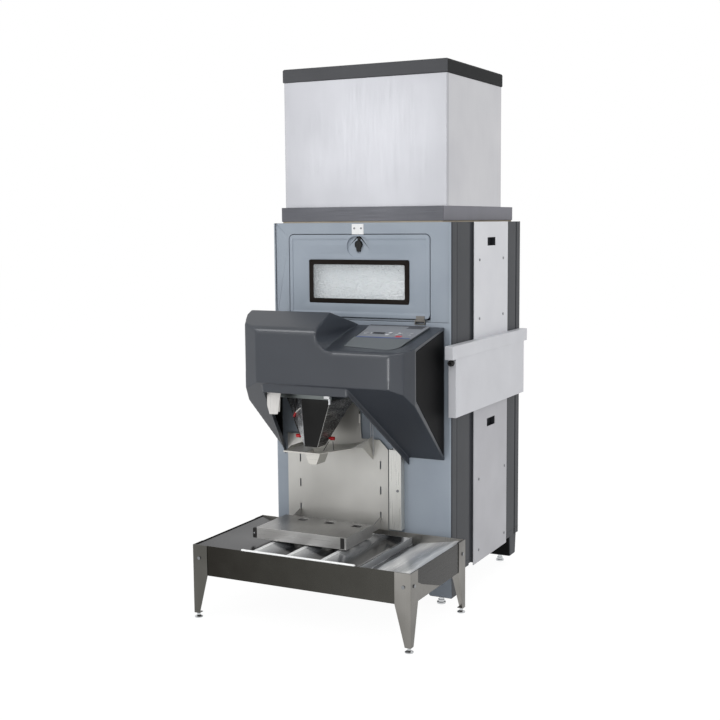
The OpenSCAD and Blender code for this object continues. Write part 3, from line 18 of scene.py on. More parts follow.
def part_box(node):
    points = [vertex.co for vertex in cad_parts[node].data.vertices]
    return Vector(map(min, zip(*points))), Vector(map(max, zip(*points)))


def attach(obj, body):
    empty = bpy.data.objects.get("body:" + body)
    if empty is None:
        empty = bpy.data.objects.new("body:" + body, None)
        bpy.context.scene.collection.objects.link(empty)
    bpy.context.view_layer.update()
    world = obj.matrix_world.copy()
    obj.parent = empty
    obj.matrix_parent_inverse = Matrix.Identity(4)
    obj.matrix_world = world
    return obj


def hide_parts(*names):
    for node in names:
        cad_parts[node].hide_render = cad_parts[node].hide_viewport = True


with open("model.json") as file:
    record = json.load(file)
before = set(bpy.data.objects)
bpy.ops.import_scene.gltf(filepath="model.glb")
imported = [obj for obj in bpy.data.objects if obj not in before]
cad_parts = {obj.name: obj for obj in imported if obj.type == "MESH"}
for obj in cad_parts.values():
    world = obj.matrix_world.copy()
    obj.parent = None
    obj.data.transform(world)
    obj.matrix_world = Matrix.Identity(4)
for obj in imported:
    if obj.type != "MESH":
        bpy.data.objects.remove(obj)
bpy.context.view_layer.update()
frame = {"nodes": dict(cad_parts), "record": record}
nodes = frame["nodes"]
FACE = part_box("bin_front_wall")[0][1]
bpy.ops.object.select_all(action="DESELECT")
print("the bin's front is at y =", round(FACE * 1000, 1), "mm")

# %% [markdown]
# ## Camera
#
# The picture was taken from the right, a little above the floor's middle, with a slightly
# long lens. The place and the three turns below come from fitting the edges of the bin,
# the ice machine and the table. The camera first tips down, then turns left, and leans by
# less than half a degree, so no lens shift is needed.

# %% Make the camera
EYE = (2.2805, -4.6210, 1.6126)
TIP, LEAN, TURN = 83.39, -0.46, 26.97
LENS_MM, SENSOR_MM = 59.43, 36
SIGHT = 100

bpy.ops.object.camera_add(location=EYE)
camera = bpy.context.object
camera.rotation_euler = (Matrix.Rotation(math.radians(TURN), 3, "Z")
                         @ Matrix.Rotation(math.radians(TIP), 3, "X")
                         @ Matrix.Rotation(math.radians(LEAN), 3, "Z")).to_euler()
camera.data.sensor_width = SENSOR_MM
camera.data.lens = LENS_MM
camera.data.clip_end = SIGHT
bpy.context.scene.camera = camera
bpy.context.scene.view_settings.view_transform = "Standard"
print("camera at", [round(v, 3) for v in camera.location], "lens", LENS_MM)

# %% [markdown]
# ## Studio
#
# A pale floor and a white surrounding keep the outline clean, as on a catalogue page. The
# white is only what the camera, the gloss and the glass see: the light that falls on the
# object comes from a weaker world and from soft boxes. One large box stands at the left
# front, so the right side of the cabinet stays a step darker than its front. One more draws
# the soft bright field on the ice machine's front. The last three are linked to the hood
# alone and show only in its gloss: they draw the thin bright lines on its round edges.

# %% A helper that adds one node with its settings and links
def add_node(tree, kind, inputs=None, **settings):
    made = tree.nodes.new("ShaderNode" + kind)
    for name, value in settings.items():
        setattr(made, name, value)
    for socket, value in (inputs or {}).items():
        if isinstance(value, bpy.types.NodeSocket):
            tree.links.new(value, made.inputs[socket])
        else:
            made.inputs[socket].default_value = value
    return made


# %% White for the camera, weaker light for everything else
def seen_directly(tree):
    """1 for what the camera, the gloss or the glass sees, 0 for all other light."""
    path = add_node(tree, "LightPath")
    pair = add_node(tree, "Math", {0: path.outputs["Is Camera Ray"],
                                   1: path.outputs["Is Glossy Ray"]}, operation="MAXIMUM")
    return add_node(tree, "Math", {0: pair.outputs[0], 1: path.outputs["Is Transmission Ray"]},
                    operation="MAXIMUM").outputs[0]


WORLD_LIGHT = 0.5
world = bpy.data.worlds.new("studio_world")
bpy.context.scene.world = world
world.use_nodes = True
background = world.node_tree.nodes["Background"]
background.inputs["Color"].default_value = (1, 1, 1, 1)
strength = add_node(world.node_tree, "MapRange", {"Value": seen_directly(world.node_tree),
                                                  "To Min": WORLD_LIGHT, "To Max": 1.0})
world.node_tree.links.new(strength.outputs[0], background.inputs["Strength"])
print("world", WORLD_LIGHT)

# %% Floor
FLOOR_SIZE = 60
FLOOR_TONE = (0.93, 0.93, 0.93, 1)
GLOW, GLOW_SHARE = 1.06, 0.9
bpy.ops.mesh.primitive_plane_add(size=FLOOR_SIZE)
floor = bpy.context.object
floor.name = "studio_floor"
floor_finish = bpy.data.materials.new("studio_floor_matte_white")
floor_finish.use_nodes = True
tree = floor_finish.node_tree
tree.nodes.remove(tree.nodes["Principled BSDF"])
matte = add_node(tree, "BsdfDiffuse", {"Color": FLOOR_TONE})
glow = add_node(tree, "Emission", {"Strength": GLOW})
share = add_node(tree, "Math", {0: seen_directly(tree), 1: GLOW_SHARE}, operation="MULTIPLY")
both = add_node(tree, "MixShader", {0: share.outputs[0], 1: matte.outputs[0], 2: glow.outputs[0]})
tree.links.new(both.outputs[0], tree.nodes["Material Output"].inputs["Surface"])
floor.data.materials.append(floor_finish)
print("floor", FLOOR_SIZE, "m wide")

# %% Soft boxes: name, place, size in metres, power in watts, what they show in
MIDDLE = Vector((0, 0, 1.15))
SOFT_BOXES = [("left_front", (-3.4, -4.6, 2.6), 3.2, 66, "diffuse"),
              ("front_high", (0.8, -4.8, 4.6), 4.0, 100, "diffuse"),
              ("front_low", (-0.4, -4.6, 0.5), 2.2, 18, "diffuse"),
              ("right_side", (4.6, -0.6, 3.0), 3.4, 55, "diffuse"),
              ("behind", (0.5, 4.4, 3.6), 3.0, 60, "diffuse"),
              ("front_gleam", (-2.15, -4.7, 2.3), 1.4, 12, "both"),
              ("ridge_gleam", (-1.9, -2.7, 3.9), 1.6, 62, "hood"),
              ("corner_gleam", (0.1, -4.6, 0.42), 1.0, 66, "hood"),
              ("step_gleam", (1.3, -2.2, 4.4), 1.6, 62, "hood")]
hood_only = bpy.data.collections.new("lit_by_hood_boxes")
for name, place, size, power, kind in SOFT_BOXES:
    bpy.ops.object.light_add(type="AREA", location=place)
    lamp = bpy.context.object
    lamp.name = "soft_box_" + name
    lamp.data.size = size
    lamp.data.energy = power
    lamp.visible_glossy = kind != "diffuse"
    if kind == "hood":
        lamp.visible_diffuse = False
        lamp.light_linking.receiver_collection = hood_only
    lamp.rotation_euler = (MIDDLE - Vector(place)).to_track_quat("-Z", "Y").to_euler()
print(len(SOFT_BOXES), "soft boxes")

# %% [markdown]
# ## Finishes
#
# Each finish starts from what the real surface is and how it was made. The patterns read
# Object coordinates, and every solid keeps its place in its mesh, so one millimetre of
# pattern is one millimetre on the object. Colours are written as sRGB hex values and one
# function turns them to the linear values that the shader wants.

# %% From hex to linear colour, and an empty finish
FINISHES = {}


def linear(hex_text):
    """The three parts of a hex colour with the sRGB curve undone, and a 1 for opaque."""
    parts = [int(hex_text[i:i + 2], 16) / 255 for i in (1, 3, 5)]
    return (*[v / 12.92 if v <= 0.04045 else ((v + 0.055) / 1.055) ** 2.4 for v in parts], 1)


def new_finish(name, hex_text, **sockets):
    """A finish of one even colour, kept in FINISHES. A socket's spaces are written as _."""
    made = bpy.data.materials.new(name)
    made.use_nodes = True
    made.diffuse_color = linear(hex_text)
    shader = made.node_tree.nodes["Principled BSDF"]
    shader.inputs["Base Color"].default_value = linear(hex_text)
    for socket, value in sockets.items():
        shader.inputs[socket.replace("_", " ")].default_value = value
    FINISHES[name] = made
    return made.node_tree, shader


# %% Noise at a real size, and what a finish takes from it
NOISE_SPAN = {"From Min": 0.3, "From Max": 0.7}


def pattern(tree, size_mm, stretch=(1, 1, 1), detail=3, offset=0):
    """Noise with grains size_mm across, made longer by stretch. The offset keeps two apart."""
    place = add_node(tree, "TexCoord")
    scale = [1000 / (size_mm * s) for s in stretch]
    fitted = add_node(tree, "Mapping", {"Vector": place.outputs["Object"], "Scale": scale,
                                        "Location": (offset, offset, offset)})
    return add_node(tree, "TexNoise", {"Vector": fitted.outputs[0], "Scale": 1.0,
                                       "Detail": detail})


def haze_and_relief(tree, shader, fine, rough, depth_mm, strength):
    """Takes roughness and relief from the fine pattern."""
    haze = add_node(tree, "MapRange", {"Value": fine.outputs[0], **NOISE_SPAN,
                                       "To Min": rough[0], "To Max": rough[1]})
    tree.links.new(haze.outputs[0], shader.inputs["Roughness"])
    relief = add_node(tree, "Bump", {"Height": fine.outputs[0], "Strength": strength,
                                     "Distance": depth_mm / 1000})
    tree.links.new(relief.outputs[0], shader.inputs["Normal"])


def tone_and_relief(tree, shader, dark_hex, fine, broad, rough, depth_mm, strength):
    """Mixes two tones by the broad pattern, and adds the fine one's haze and relief."""
    clear = add_node(tree, "MapRange", {"Value": broad.outputs[0], **NOISE_SPAN})
    light = shader.inputs["Base Color"].default_value
    tone = add_node(tree, "Mix", {0: clear.outputs[0], 6: light, 7: linear(dark_hex)},
                    data_type="RGBA")
    tree.links.new(tone.outputs[2], shader.inputs["Base Color"])
    haze_and_relief(tree, shader, fine, rough, depth_mm, strength)


# %% [markdown]
# ### Stainless steel
#
# Food equipment is made of 304 stainless sheet. Its brushed finish is a belt-sanded grain
# all in one direction: highlights smear across it. The real scratches are about 0.1 mm
# wide, too fine for this picture, so they are drawn 2 mm wide and 80 times as long. Sheet
# that is scrubbed every day turns satin: part of its light scatters, so it isn't all metal.

# %% Brushed and mill-finish stainless
SCRATCH_MM = 2
SCRATCH_DEPTH_MM = 0.12
GRAIN_STRETCH = 80
CLOUD_MM = 260


def stainless(name, light_hex, dark_hex, grain_axis, rough=(0.26, 0.4), scratch_mm=SCRATCH_MM,
              strength=0.12, metal=1.0):
    tree, shader = new_finish(name, light_hex, Metallic=metal)
    fine = pattern(tree, scratch_mm, [GRAIN_STRETCH if a == grain_axis else 1 for a in "xyz"])
    broad = pattern(tree, CLOUD_MM, detail=2, offset=3)
    tone_and_relief(tree, shader, dark_hex, fine, broad, rough, SCRATCH_DEPTH_MM, strength)


# %% [markdown]
# The chute's sides are polished sheet with painted reflections: bright and dull sweeps, 30 mm
# wide and six times as long, run from the front to the rear.

# %% Sheet with painted reflection sweeps
SWEEP_MM, SWEEP_STRETCH = 30, (1, 6, 1)
GRAIN_TO_REAR = (1, GRAIN_STRETCH, 1)


def painted_reflection_sweeps(name, light_hex, dark_hex, rough=(0.2, 0.34), metal=0.6):
    tree, shader = new_finish(name, light_hex, Metallic=metal)
    fine = pattern(tree, SCRATCH_MM, GRAIN_TO_REAR)
    broad = pattern(tree, SWEEP_MM, SWEEP_STRETCH, detail=2, offset=5)
    tone_and_relief(tree, shader, dark_hex, fine, broad, rough, SCRATCH_DEPTH_MM, strength=0.06)


# %% [markdown]
# Mirror-like sheet that slopes or bends shows bands of reflection, and here they are painted
# into the colour: a painted highlight near a ridge, a painted dark reflection in a trough. The
# tone runs from left to right over a pitch in real millimetres, and a long soft pattern makes
# the bands' borders wander.

# %% Sheet with painted reflection bands
WANDER_SIZE_MM, WANDER_STRETCH = 70, (1, 4, 1)


def painted_reflection_bands(name, start_mm, pitch_mm, tones, wander_mm=8, rough=(0.14, 0.28), metal=0.6):
    """Each tone is a share of the pitch, counted from start_mm along X, and a hex value."""
    tree, shader = new_finish(name, tones[0][1], Metallic=metal)
    place = add_node(tree, "TexCoord")
    across = add_node(tree, "SeparateXYZ", {0: place.outputs["Object"]})
    soft = pattern(tree, WANDER_SIZE_MM, WANDER_STRETCH, detail=2, offset=9)
    wander = wander_mm / pitch_mm
    drift = add_node(tree, "MapRange", {"Value": soft.outputs[0], **NOISE_SPAN,
                                        "To Min": -wander, "To Max": wander})
    count = add_node(tree, "MapRange", {"Value": across.outputs[0], "From Min": start_mm / 1000,
                                        "From Max": (start_mm + pitch_mm) / 1000}, clamp=False)
    moved = add_node(tree, "Math", {0: count.outputs[0], 1: drift.outputs[0]}, operation="ADD")
    share = add_node(tree, "Math", {0: moved.outputs[0]}, operation="FRACT")
    ramp = add_node(tree, "ValToRGB", {0: share.outputs[0]})
    marks = ramp.color_ramp.elements
    while len(marks) < len(tones):
        marks.new(0.5)
    for mark, (where, _) in zip(marks, tones):
        mark.position = where
    for mark, (_, hex_text) in zip(marks, tones):
        mark.color = linear(hex_text)
    tree.links.new(ramp.outputs[0], shader.inputs["Base Color"])
    fine = pattern(tree, SCRATCH_MM, GRAIN_TO_REAR)
    haze_and_relief(tree, shader, fine, rough, SCRATCH_DEPTH_MM, strength=0.05)


# %% [markdown]
# ### Moulded plastic
#
# The bin, its door and the hood are moulded polyethylene: a satin skin with a fine pebble
# that comes from the mould, and broad shades where the wall is thicker. Its IOR is 1.5.

# %% Moulded and painted skins
PLASTIC_IOR = 1.5
SHADE_MM = 180
PEBBLE_DEPTH_MM = 0.15


def moulded(name, light_hex, dark_hex, rough=(0.42, 0.56), grain_mm=1.6, strength=0.16,
            gloss=0.5):
    tree, shader = new_finish(name, light_hex, IOR=PLASTIC_IOR, Specular_IOR_Level=gloss)
    fine = pattern(tree, grain_mm, detail=4)
    broad = pattern(tree, SHADE_MM, detail=3, offset=7)
    tone_and_relief(tree, shader, dark_hex, fine, broad, rough, PEBBLE_DEPTH_MM, strength)


# %% [markdown]
# The film on the control panel is printed in two greys: light where the keys are, dark on the
# apron in front of them. The border is a straight line in the pattern.

# %% Printed film
FILM_GRAIN_MM = 0.8
FILM_BORDER_Y = FACE - 0.2


def printed_film(name, light_hex, dark_hex, apron_hex, rough):
    moulded(name, light_hex, dark_hex, rough, FILM_GRAIN_MM)
    tree = FINISHES[name].node_tree
    shader = tree.nodes["Principled BSDF"]
    tone = shader.inputs["Base Color"].links[0].from_socket
    place = add_node(tree, "TexCoord")
    parts = add_node(tree, "SeparateXYZ", {0: place.outputs["Object"]})
    ahead = add_node(tree, "Math", {0: parts.outputs[1], 1: FILM_BORDER_Y},
                     operation="LESS_THAN")
    both = add_node(tree, "Mix", {0: ahead.outputs[0], 6: tone, 7: linear(apron_hex)},
                    data_type="RGBA")
    tree.links.new(both.outputs[2], shader.inputs["Base Color"])


# %% [markdown]
# ### The object's own skins
#
# Each line gives a skin's name, its light tone and its dark one. The roughness is a span
# that the fine pattern moves in: a smooth skin is 0.3 to 0.4, a satin one 0.4 to 0.5. Powder
# coat has a finer, flatter grain than moulded plastic.

# %% Plastics, rubbers, paints and ice
SMOOTH, SATIN = (0.3, 0.4), (0.4, 0.5)
POWDER_COAT = {"rough": (0.36, 0.46), "grain_mm": 1.2, "strength": 0.1}

moulded("bin_front_polyethylene", "#929ba5", "#8b949f")
moulded("bin_side_polyethylene", "#3b3d41", "#36383c", gloss=0.2)
moulded("door_polyethylene", "#939ca7", "#8c96a1")
moulded("hood_polyethylene", "#34383f", "#30343b", rough=(0.27, 0.36), gloss=0.45)
# Black covers; the same finish is the painted shade on the rear leg blocks' fronts.
moulded("cover_black_abs", "#121213", "#0e0e0f", rough=(0.5, 0.6), gloss=0.08)
moulded("cap_charcoal_abs", "#47484b", "#414245", rough=(0.45, 0.55), gloss=0.3)
# The cap's sides: painted shade on the cap's charcoal.
moulded("cap_side_painted_shade_abs", "#1e1f20", "#1a1b1c", rough=(0.45, 0.55), gloss=0.06)
moulded("latch_black_nylon", "#0c0c0d", "#101112", SMOOTH, gloss=0.3)
moulded("nylon_white", "#dedcd6", "#d2d0ca", SATIN)
moulded("sensor_red_abs", "#b3131b", "#a01018", rough=(0.2, 0.3))
moulded("rubber_black", "#1c1b1b", "#232222", rough=(0.65, 0.8), grain_mm=0.9)
moulded("window_gasket_rubber", "#17120f", "#201c1a", rough=(0.5, 0.65), gloss=0.1)
moulded("seal_beige_foam", "#b9ae9c", "#a89d8b", rough=(0.8, 0.95), strength=0.4)
moulded("ice_crushed", "#e6ebee", "#fafcfd", rough=(0.25, 0.4), grain_mm=3, strength=0.5)
moulded("panel_grey_powder_coat", "#b4b4b9", "#aaaaaf", **POWDER_COAT)
moulded("panel_light_powder_coat", "#d6d7db", "#cfd0d5", **POWDER_COAT)
moulded("box_light_powder_coat", "#cbccd1", "#c4c5ca", **POWDER_COAT)
moulded("motor_dark_paint", "#3a3c40", "#33353a", rough=(0.35, 0.5))
moulded("adapter_side_paint", "#75757d", "#6d6d75", SATIN, gloss=0.3)
new_finish("pane_clear_polycarbonate", "#eef3f6", IOR=1.58, Roughness=0.06, Alpha=0.18)
print(len(FINISHES), "skins")

# %% The control panel's film, display and prints
printed_film("keypad_overlay", "#8a8d93", "#84878d", "#63686b", SATIN)
moulded("keypad_front", "#565a5d", "#505457", SATIN, FILM_GRAIN_MM)
moulded("key_white_print", "#dcdde0", "#d4d5d8", SATIN)
moulded("display_bezel_black", "#2a2c30", "#26282c", SMOOTH)
moulded("display_dark_glass", "#10181b", "#0e1518", rough=(0.08, 0.12), strength=0.02)
moulded("red_print", "#c8202c", "#bb1c27", SMOOTH)
moulded("blue_print", "#33508f", "#2e4a86", SMOOTH)
moulded("film_border_black", "#1b1c1f", "#17181b", SATIN, gloss=0.2)
# Grey print for the stop sign's mark, and painted shade for the band at the film's rear.
moulded("film_border_grey", "#55575c", "#4b4d52", SATIN, gloss=0.3)
print(len(FINISHES), "skins with the prints")

# %% [markdown]
# ### The object's own metals
#
# Each line also names the axis along which the sheet was brushed. Sheet that stands in the
# dark or faces away from the light was matched with darker tones, and worn or scrubbed sheet
# is less metal.

# %% Metals of the bin, the ice machine and the dispenser
stainless("adapter_front_dark_steel", "#636469", "#595a5f", "x")
stainless("machine_steel_front", "#b9babf", "#b0b1b6", "z", rough=(0.31, 0.37), strength=0.04)
stainless("machine_steel_side", "#c8c8cb", "#bfbfc3", "z", rough=(0.3, 0.38), strength=0.05)
stainless("plate_mill_steel", "#cbcac6", "#b6b5b1", "z", rough=(0.3, 0.42), metal=0.6)
stainless("channel_steel", "#dadad6", "#c8c8c4", "z", metal=0.7)
stainless("guide_steel", "#d8d6d0", "#bdbbb5", "x", metal=0.6)
stainless("rail_steel", "#7c8181", "#6a6f6f", "x")
stainless("gusset_steel", "#d2d0cd", "#c2c0bc", "z", metal=0.4)
stainless("hanger_steel", "#d9d7d6", "#c9c7c4", "z", metal=0.3)
stainless("clip_zinc", "#f2f3f5", "#e4e5e8", "x", metal=0.3)
stainless("rod_dark_steel", "#4c4d4f", "#3c3d3f", "z", scratch_mm=1)
stainless("chute_painted_dark_reflection_steel", "#313131", "#232323", "z", rough=(0.16, 0.26),
          strength=0.05)
painted_reflection_sweeps("chute_left_steel", "#b5b7ba", "#3e4044")
painted_reflection_sweeps("chute_right_steel", "#8e8c89", "#3c3c3c")
stainless("chute_fold_painted_highlight_steel", "#c2c2c0", "#a9a9a6", "z", metal=0.4)
stainless("auger_polished_steel", "#c2c4c6", "#b2b4b6", "y")
stainless("screw_zinc", "#8d8f92", "#7b7d80", "z", rough=(0.25, 0.35), scratch_mm=1)
stainless("hinge_steel", "#c9cbcd", "#b1b3b5", "x", rough=(0.18, 0.28))
# The door's hinges: a darker, less metal steel than hinge_steel.
stainless("hinge_weathered_steel", "#8f8c88", "#6f6c68", "x", metal=0.8)
stainless("keeper_satin_zinc", "#e4e5e6", "#d6d7d8", "z", SATIN)
stainless("galvanised_sheet", "#b6b9bb", "#9da0a3", "y", rough=(0.35, 0.5), scratch_mm=6,
          strength=0.05)
stainless("fin_aluminium", "#a6aaae", "#94989c", "z", rough=(0.3, 0.45))
stainless("evaporator_nickel", "#b9bdc2", "#a7abb0", "z", rough=(0.2, 0.35))
print(len(FINISHES), "finishes with the dispenser's metals")

# %% Metals of the table
TABLE_WIDTH_MM = 980
SLAT_START_MM, SLAT_PITCH_MM = -253.7, 155.8
TRAY_REFLECTION_START_MM, TRAY_REFLECTION_PITCH_MM = 250, 240

# The front skirt: a painted dark reflection, lighter towards the right.
painted_reflection_bands("skirt_painted_dark_reflection_steel", -TABLE_WIDTH_MM / 2, TABLE_WIDTH_MM, [
    (0, "#272521"), (0.5, "#3b3a36"), (1, "#4b4a46")], wander_mm=60, rough=(0.2, 0.3), metal=0.9)
# The side skirts: painted shade.
stainless("skirt_side_painted_shade_steel", "#272624", "#1f1e1c", "y", rough=(0.2, 0.3), strength=0.06)
# The tray: a painted dark reflection on its left part, painted bright reflection bands on its
# right one.
stainless("tray_painted_dark_reflection_steel", "#4f4f50", "#2e2f31", "y", rough=(0.14, 0.26), strength=0.06)
painted_reflection_bands("tray_painted_reflection_steel", TRAY_REFLECTION_START_MM, TRAY_REFLECTION_PITCH_MM, [
    (0, "#3c3d40"), (0.13, "#4b4d50"), (0.2, "#c9cbce"), (0.36, "#f2f3f4"), (0.55, "#b9bbbf"),
    (0.72, "#a2a5a9"), (0.84, "#f0f1f2"), (1, "#b9bbbf")], wander_mm=22, metal=0.3)
# Slats: a painted highlight near each ridge and a painted dark reflection in each trough.
painted_reflection_bands("slat_painted_reflection_steel", SLAT_START_MM, SLAT_PITCH_MM, [
    (0, "#d5d6d7"), (0.14, "#b9bbbc"), (0.32, "#8b8d90"), (0.5, "#5b5d60"), (0.6, "#27282a"),
    (0.88, "#2d2e30"), (0.97, "#8f9194"), (1, "#d5d6d7")], metal=0.4)
# Flat slat ridges, undersides and the bar: painted highlight.
stainless("slat_painted_highlight_steel", "#f7f8f8", "#e2e3e4", "y", metal=0.15)
stainless("leg_steel", "#a09e9a", "#777571", "z")
# The legs' faces that look to the right, and the left legs below: painted shade.
stainless("leg_side_steel", "#83817d", "#62605c", "z")
stainless("leg_shaded_steel", "#6b6a66", "#4f4e4a", "z")
stainless("shelf_steel", "#cccbc9", "#b4b3b1", "x", metal=0.7)
stainless("shelf_top_painted_dark_reflection_steel", "#8d8c8b", "#4f4e4e", "y", metal=0.8)
stainless("foot_bright_nickel", "#c9cbcd", "#b5b7b9", "z", rough=(0.1, 0.18))
print(len(FINISHES), "finishes")

# %% [markdown]
# ## Bare solids
#
# The works inside the ice machine and behind the hood keep their solids as they are: they
# sit in the dark, and a finish is all that they need. The hinges and the clear pane are
# plain enough to stay too.

# %% Finish the solids that stay
WEARS = {
    "nylon_white": ["drain_fittings"],
    "seal_beige_foam": ["adapter_gasket"],
    "motor_dark_paint": ["gearmotor", "fan_motor", "compressor"],
    "auger_polished_steel": ["auger", "auger_tube"],
    "hinge_weathered_steel": ["door_hinge_leaves", "door_hinge_brackets"],
    "galvanised_sheet": ["head_base"],
    "fin_aluminium": ["condenser", "condenser_fan"],
    "evaporator_nickel": ["evaporator"],
    "pane_clear_polycarbonate": ["door_window"],
}
dressed = set()
for finish, names in WEARS.items():
    for name in names:
        nodes[name].data.materials.clear()
        nodes[name].data.materials.append(FINISHES[finish])
        dressed.add(name)
print(len(dressed), "solids stay and are dressed")

# %% [markdown]
# ## Softened copies
#
# No moulded or folded edge is sharp: a moulding comes out of its tool with a radius, and
# sheet steel is deburred or bent round a small one. Those edges catch the light, so each
# solid that shows is copied, its loose triangles are merged, its flat faces are joined
# again, and a Bevel modifier rounds its edges. A thin face can't hold a wide round, so each
# edge gets no more than the faces beside it allow. Where edges meet at a very sharp corner a
# bevel can shoot out, so no corner may leave the box that the solid filled before. A
# Weighted Normal modifier then lets the largest face at each corner decide the shading, so
# wide flat sheet stays flat to the eye.

# %% Which body and which slot a solid belongs to
record = frame["record"]
BODY_OF = {node: body for body, owned in record["behaviour"]["bodies"].items() for node in owned}

# %% Helpers to select, merge, modify and hand over a piece
MERGE_DISTANCE = 0.00002
SAME_PLANE = math.radians(0.6)


def only(piece):
    bpy.ops.object.select_all(action="DESELECT")
    piece.select_set(True)
    bpy.context.view_layer.objects.active = piece


def merged_copy(node):
    piece = nodes[node].copy()
    piece.data = nodes[node].data.copy()
    piece.name = node + "_skin"
    bpy.context.scene.collection.objects.link(piece)
    only(piece)
    bpy.ops.object.mode_set(mode="EDIT")
    bpy.ops.mesh.select_all(action="SELECT")
    bpy.ops.mesh.remove_doubles(threshold=MERGE_DISTANCE)
    bpy.ops.mesh.dissolve_limited(angle_limit=SAME_PLANE)
    bpy.ops.mesh.vert_connect_concave()
    bpy.ops.object.mode_set(mode="OBJECT")
    return piece


def modify(piece, kind, **settings):
    """Adds one modifier with its settings and applies it."""
    added = piece.modifiers.new(kind.lower(), kind)
    for name, value in settings.items():
        setattr(added, name, value)
    only(piece)
    bpy.ops.object.modifier_apply(modifier=added.name)


def hand_over(piece, node):
    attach(piece, BODY_OF[node])
    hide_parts(node)
    dressed.add(node)


# %% Round the edges as far as the faces beside them allow
SHARP = math.radians(14)
FACE_SHARE = 0.4


def weigh_edges(piece, width):
    """Gives each sharp edge the share of the width that its thinner face can hold.

    Twice its area over its outline is about how wide a long thin face is.
    """
    shape = bmesh.new()
    shape.from_mesh(piece.data)
    layer = shape.edges.layers.float.new("bevel_weight_edge")
    for edge in shape.edges:
        if len(edge.link_faces) == 2 and edge.calc_face_angle() > SHARP:
            thin = min(2 * f.calc_area() / f.calc_perimeter() for f in edge.link_faces)
            edge[layer] = min(width, FACE_SHARE * thin) / width
    shape.to_mesh(piece.data)
    shape.free()


def round_edges(piece, round_mm, segments=2):
    weigh_edges(piece, round_mm / 1000)
    for face in piece.data.polygons:
        face.use_smooth = True
    low, high = [[pick(v.co[i] for v in piece.data.vertices) for i in range(3)]
                 for pick in (min, max)]
    modify(piece, "BEVEL", width=round_mm / 1000, segments=segments, limit_method="WEIGHT",
           use_clamp_overlap=False)
    for corner in piece.data.vertices:
        corner.co = [min(max(corner.co[i], low[i]), high[i]) for i in range(3)]
    modify(piece, "WEIGHTED_NORMAL", keep_sharp=False)


# %% Give a piece its finishes, chosen face by face where it has more than one
def finish_faces(piece, finishes, choose=None):
    """The finishes are one name or a list, and choose gives a face's place in the list."""
    piece.data.materials.clear()
    for name in [finishes] if isinstance(finishes, str) else finishes:
        piece.data.materials.append(FINISHES[name])
    for face in piece.data.polygons:
        face.material_index = choose(face.center, face.normal) if choose else 0


def skin_area(piece):
    piece.data.calc_loop_triangles()
    return sum(t.area for t in piece.data.loop_triangles)


def tell(piece, node, before):
    share = skin_area(piece) / before
    print(f"{node}: {len(piece.data.polygons)} faces, area {share:.3f} of the solid's")


def softened(node, finishes, round_mm, choose=None, segments=2):
    piece = merged_copy(node)
    before = skin_area(piece)
    round_edges(piece, round_mm, segments)
    tell(piece, node, before)
    finish_faces(piece, finishes, choose)
    hand_over(piece, node)


# %% [markdown]
# ## The bin
#
# The bin is one rotomoulded tub with foam between its skins. Its front is a blue-grey skin
# and its sides and legs are charcoal, so a face takes its colour from the way it looks: its
# normal's y is -1 where it looks straight ahead, x is 1 where it looks to the right, and z is
# 1 where it looks up. The rear leg blocks stand in the dark, and their fronts take painted
# shade, almost black.

# %% The bin's walls, base and surround
FRONT_AND_SIDE = ["bin_front_polyethylene", "bin_side_polyethylene"]
LOOKS_AHEAD = -0.72
FRONT_DEPTH = 0.03
REAR_LEGS = 0.3


def front_or_side(place, normal):
    return 0 if normal.y < LOOKS_AHEAD and place.y < FACE + FRONT_DEPTH else 1


# Index 2 is painted shade, almost black, on the fronts of the rear leg blocks.
def base_side(place, normal):
    if normal.y < LOOKS_AHEAD and place.y > FACE + REAR_LEGS:
        return 2
    return front_or_side(place, normal)


softened("bin_front_wall", FRONT_AND_SIDE, round_mm=4, choose=front_or_side)
softened("bin_base", [*FRONT_AND_SIDE, "cover_black_abs"], round_mm=7, choose=base_side,
         segments=3)
softened("bin_side_walls", "bin_side_polyethylene", round_mm=2)
softened("bin_rear_wall", "bin_side_polyethylene", round_mm=4)
softened("front_surround", "bin_front_polyethylene", round_mm=1.5)
print("bin dressed")

# %% [markdown]
# Two light grey steel panels close each side. They are powder coated and hang on screws;
# fingers go through the long slots to lift them off.

# %% Side panels
for level, finish in (("upper", "panel_light_powder_coat"), ("lower", "panel_grey_powder_coat")):
    for side in ("right", "left"):
        softened(f"side_panel_{level}_{side}", finish, round_mm=1)
print("side panels dressed")

# %% [markdown]
# ## Access door
#
# The door is moulded like the bin. Four shallow facets lead from its rim to the window,
# which sits in a black rubber frame, and crushed ice shows behind the clear pane.

# %% Door, gaskets, latch and keeper
softened("access_door", "door_polyethylene", round_mm=3, segments=3)
softened("door_gasket", "rubber_black", round_mm=2)
softened("window_gasket", "window_gasket_rubber", round_mm=2)
softened("door_latch", "latch_black_nylon", round_mm=0.5)
softened("latch_keeper", "keeper_satin_zinc", round_mm=1)
print("door dressed")

# %% [markdown]
# Crushed ice fills the bin behind the window. It is a heap of small broken lumps: a fine
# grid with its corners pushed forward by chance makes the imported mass, and loose lumps, each
# a low sphere with shaken corners, lie in its surface.

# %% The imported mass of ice
ICE_FRONT = FACE + 0.066
ICE_X, ICE_Z = (-0.30, 0.28), (1.22, 1.53)
ICE_CELLS = (120, 64)
ICE_BUMPS, ICE_DEPTH = 0.008, 0.12
random.seed(11)

